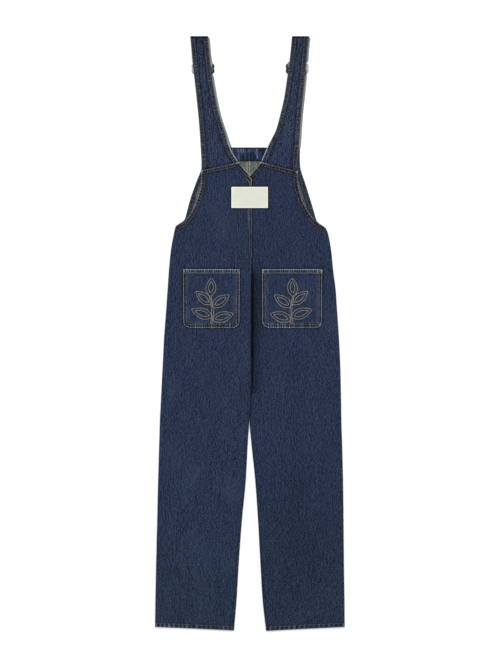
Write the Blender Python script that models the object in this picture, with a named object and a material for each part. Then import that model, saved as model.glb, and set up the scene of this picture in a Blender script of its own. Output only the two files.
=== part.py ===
"""Denim overalls laid flat with the back up: metres, +Z up, the straps towards +Y."""

import math
from collections import namedtuple

import bmesh
import bpy
from mathutils import Vector
from mathutils.bvhtree import BVHTree

# Cloth and seams
CLOTH = 0.0012             # one layer of denim
HEM_CLOTH = 0.0020         # the turned hem of a trouser leg
SEAM_GAP = 0.0003          # between pieces that touch or are sewn together
HALF_GAP = SEAM_GAP / 2
HEM_BAND = 0.0115          # height of a trouser hem
BAND_STEP = 0.0006         # a hem's band thickens over this height
EDGE_BAND = 0.0107         # width of a turned edge with two rows of stitching
PATCH_THICKNESS = 0.0014

# Rolled edges, where a front turns into a back
OUTER_ROLL = 0.0035        # width of the roll at the side seam
INNER_ROLL_LEFT = 0.0035   # the left half rolls tightly at the centre
INNER_ROLL_RIGHT = 0.0060  # the right half slopes down beside it
FRONT_EDGE_Z = 0.0019      # where the front's rolled edge ends
BACK_EDGE_Z = 0.0024       # where the back's rolled edge starts
BACK_TOP_Z = 0.0027        # the back's upper face above the side seams, where nothing lifts it
EDGE_SLANT = 0.6           # how far a barely rolled edge leans from upright
SLANT_FADE = 0.0008        # an edge that rolls further than this stands upright

# How far the raised edges of a half reach across it
EDGE_RISE_REACH = 0.028
LAYER_REACH = 0.014        # a layer starts to rise this far before what it passes over
ABOVE_ALL = 0.1            # higher than every layer

# The side seam starts at the foot of the armhole, and the centre seam sinks below the seat
SIDE_SEAM_TOP_Y = 0.268
SIDE_ROLL_FULL_Y = 0.232
SEAT_GROOVE_TOP_Y = 0.180
SEAT_GROOVE_FULL_Y = 0.110
CROTCH_TOP_Y = 0.010
CROTCH_FULL_Y = -0.040

# Columns of points across a half
ROLL_STEPS = 3
BACK_COLUMNS = 8
FRONT_COLUMNS = 2
BACK_ROW_STEP = 0.052
FRONT_ROW_STEP = 0.110
STRAP_ROWS_UP = 24
STRAP_ROW_STEP = 0.025
FOLD_STEPS = 6

# Straps and sliders
STRAP_TOP_Y = 0.7430       # the shoulder fold
SLIDER_Y = 0.6620
SLIDER_HEIGHT = 0.0240
SLIDER_WIDTH = 0.0565
SLIDER_THICKNESS = 0.0020
SLIDER_Z = 0.0030          # underside of the bars
SLIDER_BAR = 0.0035
SLIDER_SLOT_WIDTH = 0.0470
SLIDER_NOTCH_DEPTH = 0.0026
SLIDER_NOTCH_WIDTH = 0.0022
SLIDER_LOBE_RADIUS = 0.0050
SLIDER_BEVEL = 0.0004
NOTCH_SHARES = (1.0, 0.55, 0.15, 0.0)   # of the notch's depth, from its middle to its lip
NOTCH_FLARE = 1.2          # how far the notch's lip widens
FOLD_RADIUS = 0.0019       # of the strap's middle line at the shoulder fold
TAIL_LENGTH = 0.045        # free end of the strap below the slider
LOOP_LENGTH = 0.022        # end of the front strap, sewn back on itself
YOKE_SLANT = 0.050         # over this height the strap's rows turn from the yoke's slant to straight
FOLD_RISE = 0.012          # the strap starts to rise this far below the fold

# The lower run's bends near the slider, as distances from its middle or from a bar's middle
WEAVE_START = 0.0340       # here the run starts to rise from the floor
UPPER_BAR_REACH = 0.0022
LOWER_SLOT_REACH = 0.0034
WEAVE_ROUNDING = 0.0022
SHIFT_START = 0.0130       # between these heights the run moves sideways into the slider
SHIFT_END = 0.0220

# The front strap's bends, as distances from the tail's end or from the lower bar
TAIL_RAMP = (0.0240, 0.0040)
LOOP_TOP = 0.0010
LOOP_FALL = 0.0060
LOOP_ROUNDING = 0.0014
FRONT_TURN = (0.0320, 0.0140)   # between these distances it moves sideways into the slider

# Pockets, patch and facing
POCKET_TOP_Y = 0.1612
POCKET_HEIGHT = 0.1470
POCKET_CORNER = 0.0170
POCKET_HEM = 0.0108
POCKET_HEM_CLOTH = 0.0018
POCKET_TAPER = 0.0008      # each side draws in by this much at the bottom
POCKET_SIDES = {"left": (-0.1677, -0.0252), "right": (0.0296, 0.1806)}
POCKET_COLUMNS = 9
POCKET_ROWS = 6
PATCH_CENTRE = (-0.0009, 0.3400)
PATCH_SIZE = (0.0913, 0.0528)
PATCH_CORNER = 0.0015
PATCH_COLUMNS = 8
PATCH_ROWS = 4
BIB_TOP_Y = 0.4650
FACING_DEPTH = 0.0345
FACING_SIDES = (-0.0480, 0.0490)
FACING_COLUMNS = 4
FRONT_HEM_CLOTH = 0.0010   # pressed flatter than the rest
EDGE_SETBACK = 0.0004      # a turned edge lies this far inside the fold
HEM_FOOT_GAP = 0.0020      # the armhole's hem ends this far above the last row of the bib
HEM_STEPS = 14
HEM_STEP_Y = 0.0010

Finish = namedtuple("Finish", "red green blue roughness metallic")
FINISHES = {
    "denim": Finish(0.0242, 0.0356, 0.0680, 0.90, 0.0),
    "denim_inside": Finish(0.1360, 0.1490, 0.1330, 0.95, 0.0),
    "patch": Finish(0.7500, 0.7700, 0.6700, 0.70, 0.0),
    "brass": Finish(0.3200, 0.2300, 0.1100, 0.35, 1.0),
}
SMOOTH_ANGLE = 40          # degrees: a sharper edge stays an edge
BEVEL_ANGLE = 50

# Below the armholes a row runs straight across a half, and the edges lie at these places:
# side is the side fold, back_centre and front_centre the edges at the middle of each layer.
# The heights are those of the back's upper face near the side, in the middle and at the centre.
HalfRow = namedtuple("HalfRow", "side_y side centre_y back_centre front_centre side_z middle_z centre_z")
HALF_ROWS = {
    "left": [
        HalfRow(0.268, -0.1850, 0.268, 0.0025, -0.0010, 0.0042, 0.0027, 0.0027),
        HalfRow(0.249, -0.1900, 0.249, 0.0028, -0.0010, 0.0050, 0.0028, 0.0027),
        HalfRow(0.209, -0.1975, 0.209, 0.0031, -0.0010, 0.0056, 0.0030, 0.0027),
        HalfRow(0.159, -0.2025, 0.159, 0.0033, -0.0010, 0.0058, 0.0036, 0.0040),
        HalfRow(0.109, -0.2060, 0.109, 0.0033, -0.0010, 0.0058, 0.0042, 0.0063),
        HalfRow(0.059, -0.2095, 0.059, 0.0033, -0.0010, 0.0060, 0.0044, 0.0063),
        HalfRow(-0.016, -0.2150, -0.016, 0.0033, 0.0012, 0.0060, 0.0038, 0.0063),
        HalfRow(-0.066, -0.2175, -0.066, 0.0033, 0.0033, 0.0060, 0.0034, 0.0063),
        HalfRow(-0.116, -0.2200, -0.116, 0.0033, 0.0033, 0.0060, 0.0031, 0.0063),
        HalfRow(-0.166, -0.2225, -0.166, 0.0012, 0.0012, 0.0060, 0.0031, 0.0062),
        HalfRow(-0.216, -0.2250, -0.216, -0.0015, -0.0015, 0.0060, 0.0032, 0.0060),
        HalfRow(-0.266, -0.2265, -0.266, -0.0050, -0.0050, 0.0059, 0.0036, 0.0059),
        HalfRow(-0.366, -0.2295, -0.366, -0.0105, -0.0105, 0.0058, 0.0032, 0.0058),
        HalfRow(-0.466, -0.2318, -0.466, -0.0200, -0.0200, 0.0058, 0.0035, 0.0058),
        HalfRow(-0.566, -0.2343, -0.566, -0.0275, -0.0275, 0.0056, 0.0031, 0.0057),
        HalfRow(-0.666, -0.2363, -0.666, -0.0335, -0.0335, 0.0056, 0.0034, 0.0057),
        HalfRow(-0.733, -0.2373, -0.742, -0.0400, -0.0400, 0.0060, 0.0048, 0.0060),
    ],
    "right": [
        HalfRow(0.264, 0.1885, 0.264, 0.0025, -0.0010, 0.0042, 0.0027, 0.0027),
        HalfRow(0.249, 0.1950, 0.249, 0.0028, -0.0010, 0.0050, 0.0028, 0.0027),
        HalfRow(0.209, 0.2025, 0.209, 0.0031, -0.0010, 0.0056, 0.0029, 0.0027),
        HalfRow(0.159, 0.2077, 0.159, 0.0033, -0.0010, 0.0058, 0.0034, 0.0034),
        HalfRow(0.109, 0.2140, 0.109, 0.0033, -0.0010, 0.0058, 0.0040, 0.0052),
        HalfRow(0.059, 0.2175, 0.059, 0.0033, -0.0010, 0.0060, 0.0042, 0.0052),
        HalfRow(-0.016, 0.2225, -0.016, 0.0033, 0.0012, 0.0060, 0.0036, 0.0052),
        HalfRow(-0.066, 0.2250, -0.066, 0.0033, 0.0033, 0.0060, 0.0031, 0.0053),
        HalfRow(-0.116, 0.2265, -0.116, 0.0033, 0.0033, 0.0060, 0.0030, 0.0054),
        HalfRow(-0.166, 0.2275, -0.166, 0.0012, 0.0012, 0.0060, 0.0030, 0.0055),
        HalfRow(-0.216, 0.2282, -0.216, -0.0012, -0.0012, 0.0060, 0.0031, 0.0057),
        HalfRow(-0.266, 0.2298, -0.266, 0.0025, 0.0025, 0.0059, 0.0031, 0.0058),
        HalfRow(-0.366, 0.2324, -0.366, 0.0128, 0.0128, 0.0058, 0.0034, 0.0058),
        HalfRow(-0.466, 0.2337, -0.466, 0.0200, 0.0200, 0.0058, 0.0031, 0.0058),
        HalfRow(-0.566, 0.2346, -0.566, 0.0255, 0.0255, 0.0056, 0.0035, 0.0057),
        HalfRow(-0.666, 0.2360, -0.666, 0.0315, 0.0315, 0.0056, 0.0032, 0.0057),
        HalfRow(-0.733, 0.2366, -0.743, 0.0400, 0.0400, 0.0060, 0.0048, 0.0060),
    ],
}

# Above the side seams a row runs from the armhole to the V of the back or the middle of the bib.
TopRow = namedtuple("TopRow", "arm_x arm_y centre_x centre_y")
BACK_TOP_ROWS = {
    "left": [
        TopRow(-0.1213, 0.4075, -0.0288, 0.4275),
        TopRow(-0.1216, 0.3975, -0.0210, 0.4185),
        TopRow(-0.1220, 0.3850, -0.0105, 0.4067),
        TopRow(-0.1228, 0.3700, 0.0000, 0.3948),
        TopRow(-0.1267, 0.3540, 0.0005, 0.3760),
        TopRow(-0.1315, 0.3383, 0.0008, 0.3560),
        TopRow(-0.1370, 0.3223, 0.0012, 0.3360),
        TopRow(-0.1450, 0.3063, 0.0015, 0.3170),
        TopRow(-0.1555, 0.2903, 0.0018, 0.2990),
        TopRow(-0.1683, 0.2765, 0.0021, 0.2825),
    ],
    "right": [
        TopRow(0.1187, 0.4050, 0.0275, 0.4288),
        TopRow(0.1190, 0.3950, 0.0200, 0.4195),
        TopRow(0.1196, 0.3830, 0.0100, 0.4070),
        TopRow(0.1210, 0.3690, 0.0000, 0.3948),
        TopRow(0.1245, 0.3540, 0.0005, 0.3760),
        TopRow(0.1315, 0.3318, 0.0008, 0.3540),
        TopRow(0.1412, 0.3128, 0.0012, 0.3340),
        TopRow(0.1508, 0.2968, 0.0015, 0.3150),
        TopRow(0.1650, 0.2808, 0.0018, 0.2950),
        TopRow(0.1765, 0.2722, 0.0021, 0.2800),
    ],
}
FRONT_TOP_ROWS = {
    "left": [
        TopRow(-0.1175, 0.4650, -0.0010, 0.4650),
        TopRow(-0.1190, 0.4400, -0.0010, 0.4400),
        TopRow(-0.1203, 0.4180, -0.0010, 0.4180),
        TopRow(-0.1345, 0.3780, -0.0010, 0.3780),
        TopRow(-0.1483, 0.3388, -0.0010, 0.3388),
        TopRow(-0.1560, 0.3110, -0.0010, 0.3110),
        TopRow(-0.1640, 0.2840, -0.0010, 0.2860),
    ],
    "right": [
        TopRow(0.1255, 0.4650, -0.0010, 0.4650),
        TopRow(0.1245, 0.4400, -0.0010, 0.4400),
        TopRow(0.1255, 0.4180, -0.0010, 0.4180),
        TopRow(0.1372, 0.3780, -0.0010, 0.3780),
        TopRow(0.1508, 0.3350, -0.0010, 0.3350),
        TopRow(0.1603, 0.3030, -0.0010, 0.3030),
        TopRow(0.1675, 0.2800, -0.0010, 0.2810),
    ],
}

# The edges of a back strap, armhole side and neck side, from the yoke seam up to the fold
StrapRow = namedtuple("StrapRow", "y arm_x neck_x")
STRAP_ROWS = {
    "left": [
        StrapRow(0.4280, -0.1212, -0.0292),
        StrapRow(0.4588, -0.1228, -0.0475),
        StrapRow(0.5088, -0.1260, -0.0650),
        StrapRow(0.5438, -0.1290, -0.0763),
        StrapRow(0.5938, -0.1341, -0.0873),
        StrapRow(0.6413, -0.1393, -0.0953),
        StrapRow(0.6888, -0.1447, -0.1005),
        StrapRow(0.7430, -0.1493, -0.1053),
    ],
    "right": [
        StrapRow(0.4290, 0.1187, 0.0280),
        StrapRow(0.4688, 0.1225, 0.0450),
        StrapRow(0.5088, 0.1250, 0.0650),
        StrapRow(0.5438, 0.1275, 0.0750),
        StrapRow(0.5925, 0.1323, 0.0860),
        StrapRow(0.6413, 0.1370, 0.0933),
        StrapRow(0.6888, 0.1415, 0.0998),
        StrapRow(0.7430, 0.1470, 0.1050),
    ],
}
STRAP_BASE_Y = {"left": (0.3985, 0.4180), "right": (0.3965, 0.4190)}   # armhole side, neck side
FRONT_SHIFT = 0.0050       # the front layer lies this far to the right of the back layer
LOWER_SHIFT = 0.0045       # and so far the run that comes down from the fold
SLIDER_SHIFT = {"left": 0.0025, "right": 0.0000}

# Height of the back strap's underside above the floor, by distance above the slider's middle
StrapRest = namedtuple("StrapRest", "above_slider z")
STRAP_REST = [
    StrapRest(-0.205, 0.0030),
    StrapRest(-0.185, 0.0026),
    StrapRest(-0.160, 0.0015),
    StrapRest(-0.085, 0.0015),
    StrapRest(-0.062, 0.0030),
    StrapRest(-0.046, 0.0032),
    StrapRest(-0.036, 0.0046),
    StrapRest(-0.024, 0.0058),
    StrapRest(-0.012, 0.0068),
    StrapRest(0.022, 0.0068),
    StrapRest(0.034, 0.0040),
    StrapRest(0.048, 0.0018),
    StrapRest(0.062, 0.0018),
    StrapRest(0.074, 0.0034),
]


def smoothstep(start, end, value):
    share = min(1.0, max(0.0, (value - start) / (end - start)))
    return share * share * (3 - 2 * share)


def mix(a, b, share):
    return a + (b - a) * share


def smooth_through(places, values, wanted):
    """Read a smooth curve through (places, values) that never overshoots them."""
    last = len(places) - 1
    steps = [places[i + 1] - places[i] for i in range(last)]
    slopes = [(values[i + 1] - values[i]) / steps[i] for i in range(last)]
    tangents = [slopes[0]]
    for before, after in zip(slopes, slopes[1:]):
        tangents.append(0.0 if before * after <= 0 else 2 * before * after / (before + after))
    tangents.append(slopes[-1])
    i = 0
    while i < last - 1 and wanted > places[i + 1]:
        i += 1
    t = (wanted - places[i]) / steps[i]
    return ((1 + 2 * t) * (1 - t) ** 2 * values[i] + t * (1 - t) ** 2 * steps[i] * tangents[i]
            + t * t * (3 - 2 * t) * values[i + 1] + t * t * (t - 1) * steps[i] * tangents[i + 1])


def smooth_rows(rows, longest, places):
    """Add rows between those of a table, none further than longest from the next."""
    stations = [places[0]]
    for before, after in zip(places, places[1:]):
        count = max(1, math.ceil((after - before) / longest))
        stations += [mix(before, after, k / count) for k in range(1, count + 1)]
    columns = list(zip(*rows))
    return [type(rows[0])(*(smooth_through(places, column, s) for column in columns))
            for s in stations]


def new_material(name, kind):
    finish = FINISHES[kind]
    material = bpy.data.materials.new(name)
    material.use_nodes = True
    shader = material.node_tree.nodes["Principled BSDF"]
    shader.inputs["Base Color"].default_value = (finish.red, finish.green, finish.blue, 1.0)
    shader.inputs["Roughness"].default_value = finish.roughness
    shader.inputs["Metallic"].default_value = finish.metallic
    return material


def new_object(name, vertices, faces, material):
    mesh = bpy.data.meshes.new(name)
    mesh.from_pydata([tuple(v) for v in vertices], [], faces)
    shape = bmesh.new()
    shape.from_mesh(mesh)
    bmesh.ops.recalc_face_normals(shape, faces=shape.faces)
    shape.to_mesh(mesh)
    shape.free()
    mesh.shade_smooth()
    mesh.set_sharp_from_angle(angle=math.radians(SMOOTH_ANGLE))
    mesh.materials.append(material)
    thing = bpy.data.objects.new(name, mesh)
    bpy.context.scene.collection.objects.link(thing)
    return thing


def wall_between(name, upper, lower, material):
    """Close two grids of points, row by row, into one wall."""
    rows, columns = len(upper), len(upper[0])
    vertices = [point for row in upper for point in row]
    offset = len(vertices)
    vertices += [point for row in lower for point in row]

    def at(row, column):
        return row * columns + column

    faces = []
    for r in range(rows - 1):
        for c in range(columns - 1):
            quad = [at(r, c), at(r, c + 1), at(r + 1, c + 1), at(r + 1, c)]
            faces.append(quad)
            faces.append([offset + i for i in reversed(quad)])
    border = [at(0, c) for c in range(columns)]
    border += [at(r, columns - 1) for r in range(1, rows)]
    border += [at(rows - 1, c) for c in range(columns - 2, -1, -1)]
    border += [at(r, 0) for r in range(rows - 2, 0, -1)]
    for here, there in zip(border, border[1:] + border[:1]):
        faces.append([here, offset + here, offset + there, there])
    return new_object(name, vertices, faces, material)


class Layers:
    """What already lies on the floor, so that the next layer can rest on it."""

    def __init__(self):
        self.trees = []

    def add(self, thing):
        corners = [v.co.copy() for v in thing.data.vertices]
        polygons = [tuple(p.vertices) for p in thing.data.polygons]
        self.trees.append(BVHTree.FromPolygons(corners, polygons))

    def top(self, x, y, reach):
        """The highest point of any layer within reach of a place."""
        down = Vector((0, 0, -1))
        highest = 0.0
        for ring in (0.0, 0.5, 1.0):
            spokes = 8 if ring else 1
            for k in range(spokes):
                angle = math.tau * k / spokes
                along_x = ring * reach * math.cos(angle)
                along_y = ring * reach * math.sin(angle)
                place = Vector((x + along_x, y + along_y, ABOVE_ALL))
                for tree in self.trees:
                    hit = tree.ray_cast(place, down)[0]
                    if hit is not None:
                        highest = max(highest, hit.z)
        return highest


def half_row_at(start_x, end_x, columns, start_roll, end_roll):
    """Places across a row: x, the angle along a rolled edge, and which edge it belongs to."""
    side = 1 if end_x > start_x else -1
    places = []
    for k in range(ROLL_STEPS):
        angle = math.pi / 2 * k / ROLL_STEPS
        places.append((start_x + side * start_roll * (1 - math.cos(angle)), angle, "start"))
    first = start_x + side * start_roll
    last = end_x - side * end_roll
    for k in range(columns + 1):
        share = (1 - math.cos(math.pi * k / columns)) / 2
        places.append((mix(first, last, share), math.pi / 2, "flat"))
    for k in range(ROLL_STEPS - 1, -1, -1):
        angle = math.pi / 2 * k / ROLL_STEPS
        places.append((end_x - side * end_roll * (1 - math.cos(angle)), angle, "end"))
    return places


def rolled_section(places, tops, start_drop, end_drop, start_roll, end_roll, thickness, up):
    """The outer and inner line of a section whose two edges may roll towards the other layer."""
    outer, inner = [], []
    side = 1 if places[-1][0] > places[0][0] else -1
    for (x, angle, edge), top in zip(places, tops):
        drop, roll, way = {
            "start": (start_drop, start_roll, side),
            "end": (end_drop, end_roll, -side),
            "flat": (0.0, 1.0, side),
        }[edge]
        z = top - up * drop * (1 - math.sin(angle))
        along_x = roll * (math.sin(angle) + EDGE_SLANT * math.exp(-drop / SLANT_FADE))
        along_z = drop * math.cos(angle)
        length = math.hypot(along_x, along_z)
        cloth = mix(min(CLOTH, thickness), thickness, math.sin(angle))
        outer.append((x, z))
        inner.append((x + way * cloth * along_z / length, z - up * cloth * along_x / length))
    return outer, inner


def slanted(start_y, end_y, start_x, end_x, x):
    return mix(start_y, end_y, (x - start_x) / (end_x - start_x))


def leg_rows(side, longest):
    rows = HALF_ROWS[side]
    places = [-(row.side_y + row.centre_y) / 2 for row in rows]
    dense = smooth_rows(rows, longest, places)
    # The hem's band starts a little above the last row
    before, last = dense[-2], dense[-1]
    share = 1 - HEM_BAND / (before.side_y - last.side_y)
    step = BAND_STEP / (before.side_y - last.side_y)
    band = [HalfRow(*(mix(a, b, s) for a, b in zip(before, last))) for s in (share - step, share)]
    return dense[:-1] + band + [last]


def back_panel(side, layers, material):
    inner_roll = INNER_ROLL_LEFT if side == "left" else INNER_ROLL_RIGHT
    centre_gap = -HALF_GAP if side == "left" else HALF_GAP
    low = HALF_ROWS[side][0]
    top_rows = BACK_TOP_ROWS[side] + [TopRow(low.side, low.side_y, low.back_centre, low.centre_y)]
    course = []
    for row in top_rows[:-1]:
        heights = (BACK_TOP_Z, BACK_TOP_Z, BACK_TOP_Z)
        course.append((row.arm_x, row.arm_y, row.centre_x, row.centre_y, *heights, CLOTH))
    rows = leg_rows(side, BACK_ROW_STEP)
    for index, row in enumerate(rows):
        cloth = HEM_CLOTH if index >= len(rows) - 2 else CLOTH
        course.append((row.side, row.side_y, row.back_centre, row.centre_y,
                       row.side_z, row.middle_z, row.centre_z, cloth))
    upper, lower = [], []
    for side_x, side_y, centre_x, centre_y, side_z, middle_z, centre_z, cloth in course:
        centre_x += centre_gap
        side_roll = smoothstep(SIDE_SEAM_TOP_Y, SIDE_ROLL_FULL_Y, side_y)
        centre_roll = smoothstep(SEAT_GROOVE_TOP_Y, SEAT_GROOVE_FULL_Y, centre_y)
        places = half_row_at(side_x, centre_x, BACK_COLUMNS, OUTER_ROLL, inner_roll)
        tops = []
        for x, angle, edge in places:
            from_side = abs(x - side_x) / EDGE_RISE_REACH
            from_centre = abs(x - centre_x) / EDGE_RISE_REACH
            own = middle_z + (side_z - middle_z) * math.exp(-from_side ** 2)
            own += (centre_z - middle_z) * math.exp(-from_centre ** 2)
            y = slanted(side_y, centre_y, side_x, centre_x, x)
            beneath = layers.top(x, y, LAYER_REACH)
            rolled = (edge == "start" and side_roll > 0.5) or (edge == "end" and centre_roll > 0.5)
            if not rolled:
                own = max(own, beneath + SEAM_GAP + cloth)
            tops.append(own)
        side_drop = side_roll * (tops[0] - BACK_EDGE_Z)
        centre_drop = centre_roll * (tops[-1] - BACK_EDGE_Z)
        outer, inner = rolled_section(places, tops, side_drop, centre_drop,
                                      OUTER_ROLL, inner_roll, cloth, 1)
        for line, grid in ((outer, upper), (inner, lower)):
            grid.append([(x, slanted(side_y, centre_y, side_x, centre_x, x), z) for x, z in line])
    return wall_between("back_panel_" + side, upper, lower, material)


def front_panel(side, material):
    centre_gap = -HALF_GAP if side == "left" else HALF_GAP
    inner_roll = INNER_ROLL_LEFT if side == "left" else INNER_ROLL_RIGHT
    course = [(r.arm_x, r.arm_y, r.centre_x, r.centre_y, CLOTH) for r in FRONT_TOP_ROWS[side]]
    rows = leg_rows(side, FRONT_ROW_STEP)
    for index, row in enumerate(rows):
        cloth = HEM_CLOTH if index >= len(rows) - 2 else CLOTH
        course.append((row.side, row.side_y, row.front_centre, row.centre_y, cloth))
    upper, lower = [], []
    for side_x, side_y, centre_x, centre_y, cloth in course:
        centre_x += centre_gap
        side_drop = FRONT_EDGE_Z * smoothstep(SIDE_SEAM_TOP_Y, SIDE_ROLL_FULL_Y, side_y)
        centre_drop = FRONT_EDGE_Z * smoothstep(CROTCH_TOP_Y, CROTCH_FULL_Y, centre_y)
        places = half_row_at(side_x, centre_x, FRONT_COLUMNS, OUTER_ROLL, inner_roll)
        outer, inner = rolled_section(places, [0.0] * len(places), side_drop, centre_drop,
                                      OUTER_ROLL, inner_roll, cloth, -1)
        for line, grid in ((outer, lower), (inner, upper)):
            grid.append([(x, slanted(side_y, centre_y, side_x, centre_x, x), z) for x, z in line])
    return wall_between("front_panel_" + side, upper, lower, material)


def read_strap(side, y):
    """The strap's two edges at a height, armhole side first."""
    rows = STRAP_ROWS[side]
    places = [row.y for row in rows]
    y = min(max(y, places[0]), places[-1])
    return (smooth_through(places, [row.arm_x for row in rows], y),
            smooth_through(places, [row.neck_x for row in rows], y))


def ribbon(name, course, material):
    """Sweep a flat strip along a course of (y a, y b, z, x a, x b): its middle line at edges a and b."""
    upper, lower = [], []
    for index, (y_a, y_b, z, x_a, x_b) in enumerate(course):
        before = course[max(index - 1, 0)]
        after = course[min(index + 1, len(course) - 1)]
        run = ((after[0] + after[1]) - (before[0] + before[1])) / 2
        rise = after[2] - before[2]
        length = math.hypot(run, rise)
        shift_y = -rise / length * CLOTH / 2
        shift_z = run / length * CLOTH / 2
        one, two = [], []
        for share in (0.0, 0.25, 0.5, 0.75, 1.0):
            x = mix(x_a, x_b, share)
            y = mix(y_a, y_b, share)
            one.append((x, y + shift_y, z + shift_z))
            two.append((x, y - shift_y, z - shift_z))
        upper.append(one)
        lower.append(two)
    return wall_between(name, upper, lower, material)


def rounded_path(corners, radius, steps=2):
    """Round the corners of a path of (y, z) points."""
    path = [corners[0]]
    for before, corner, after in zip(corners, corners[1:], corners[2:]):
        into = Vector(before) - Vector(corner)
        out = Vector(after) - Vector(corner)
        cut = min(radius, into.length * 0.45, out.length * 0.45)
        start = Vector(corner) + into.normalized() * cut
        end = Vector(corner) + out.normalized() * cut
        for k in range(steps + 1):
            t = k / steps
            point = start * (1 - t) ** 2 + Vector(corner) * 2 * t * (1 - t) + end * t * t
            path.append((point.x, point.y))
    path.append(corners[-1])
    return path


def back_strap(side, material):
    middle = CLOTH / 2
    base_arm, base_neck = STRAP_BASE_Y[side]
    rows = STRAP_ROWS[side]
    top_y = STRAP_TOP_Y - FOLD_RADIUS - middle
    rests = [r.above_slider for r in STRAP_REST]
    heights = [r.z for r in STRAP_REST]
    fold_low = middle
    fold_high = middle + 2 * FOLD_RADIUS

    course = [(base_arm, base_neck, STRAP_REST[0].z + middle, rows[0].arm_x, rows[0].neck_x)]
    start_y = rows[0].y
    for k in range(STRAP_ROWS_UP + 1):
        y = mix(start_y, top_y, k / STRAP_ROWS_UP)
        # The first rows turn from the slant of the yoke seam to straight across
        slant = 1 - smoothstep(start_y, start_y + YOKE_SLANT, y)
        offset = y - SLIDER_Y
        rest = STRAP_REST[0].z
        if offset > rests[0]:
            rest = smooth_through(rests, heights, offset)
        z = rest + middle
        z = mix(z, fold_high, smoothstep(top_y - FOLD_RISE, top_y, y))
        lean = (base_arm - base_neck) * slant / 2
        arm_x = read_strap(side, y + lean)[0]
        neck_x = read_strap(side, y - lean)[1]
        course.append((y + lean, y - lean, z, arm_x, neck_x))

    fold = []
    for k in range(1, FOLD_STEPS):
        angle = math.pi * k / FOLD_STEPS
        fold.append((top_y + FOLD_RADIUS * math.sin(angle), middle + FOLD_RADIUS * (1 + math.cos(angle))))
    fold.append((top_y, fold_low))
    under_bar = SLIDER_Z - 2 * SEAM_GAP - middle
    above_bar = SLIDER_Z + SLIDER_THICKNESS + SEAM_GAP + middle
    bar_step = (SLIDER_HEIGHT - SLIDER_BAR) / 2
    weave = [
        (SLIDER_Y + WEAVE_START, fold_low),
        (SLIDER_Y + bar_step + UPPER_BAR_REACH, above_bar),
        (SLIDER_Y + bar_step - UPPER_BAR_REACH, above_bar),
        (SLIDER_Y + SLIDER_BAR / 2 + SEAM_GAP, under_bar),
        (SLIDER_Y - LOWER_SLOT_REACH, middle),
        (SLIDER_Y - bar_step - TAIL_LENGTH, middle),
    ]
    path = fold + rounded_path([fold[-1]] + weave, WEAVE_ROUNDING)[1:]
    for y, z in path:
        arm_x, neck_x = read_strap(side, max(y, SLIDER_Y - SLIDER_HEIGHT / 2))
        above = smoothstep(SLIDER_Y + SHIFT_START, SLIDER_Y + SHIFT_END, y)
        shift = mix(SLIDER_SHIFT[side], LOWER_SHIFT, above)
        shift *= 1 - smoothstep(STRAP_TOP_Y - FOLD_RISE / 2, STRAP_TOP_Y, y)
        course.append((y, y, z, arm_x + shift, neck_x + shift))
    return ribbon("back_strap_" + side, course, material)


def front_strap(side, material):
    middle = CLOTH / 2
    on_tail = CLOTH + SEAM_GAP + middle
    above_bar = SLIDER_Z + SLIDER_THICKNESS + SEAM_GAP + middle
    bar_step = (SLIDER_HEIGHT - SLIDER_BAR) / 2
    bar_y = SLIDER_Y - bar_step
    turn_y = bar_y + SLIDER_BAR / 2 + 2 * SEAM_GAP + middle
    tail_end = bar_y - TAIL_LENGTH
    flat_course = [
        (BIB_TOP_Y + SEAM_GAP, middle),
        (tail_end - TAIL_RAMP[0], middle),
        (tail_end - TAIL_RAMP[1], on_tail),
        (turn_y, on_tail),
        (turn_y, above_bar),
        (bar_y - SLIDER_BAR / 2 - LOOP_TOP, above_bar),
        (bar_y - SLIDER_BAR / 2 - LOOP_FALL, on_tail + CLOTH + SEAM_GAP),
        (bar_y - SLIDER_BAR / 2 - LOOP_LENGTH, on_tail + CLOTH + SEAM_GAP),
    ]
    path = []
    rounded = rounded_path(flat_course, LOOP_ROUNDING)
    for here, there in zip(rounded, rounded[1:]):
        steps = max(1, math.ceil(abs(there[0] - here[0]) / STRAP_ROW_STEP))
        shares = [k / steps for k in range(steps)]
        path += [(mix(here[0], there[0], s), mix(here[1], there[1], s)) for s in shares]
    path.append(rounded[-1])
    course = []
    for y, z in path:
        arm_x, neck_x = read_strap(side, min(y, SLIDER_Y - SLIDER_HEIGHT / 2))
        near = smoothstep(SLIDER_Y - FRONT_TURN[0], SLIDER_Y - FRONT_TURN[1], y)
        shift = mix(FRONT_SHIFT, SLIDER_SHIFT[side], near)
        course.append((y, y, z, arm_x + shift, neck_x + shift))
    return ribbon("front_strap_" + side, course, material)


def corner_rows(left, right, top, bottom, radius, taper, steps=3):
    """Rows of a panel with straight sides and round lower corners: y, left x, right x."""
    rows = []
    for k in range(steps + 1):
        angle = math.pi / 2 * k / steps
        draw_in = radius * (1 - math.cos(angle))
        rows.append((bottom + radius * (1 - math.sin(angle)), draw_in))
    slope = taper / (top - bottom)
    drawn = [(y, draw_in + slope * (top - y)) for y, draw_in in rows]
    return [(y, left + inset, right - inset) for y, inset in drawn]


def lying_panel(name, rows, columns, layers, material, cloth_at):
    """A piece that lies on others, as rows of (y, left x, right x): its points are theirs, moved up."""
    upper, lower = [], []
    for y, left, right in rows:
        one, two = [], []
        for k in range(columns + 1):
            x = mix(left, right, k / columns)
            z = layers.top(x, y, LAYER_REACH / 2) + SEAM_GAP
            two.append((x, y, z))
            one.append((x, y, z + cloth_at(y)))
        upper.append(one)
        lower.append(two)
    return wall_between(name, upper, lower, material)


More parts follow.
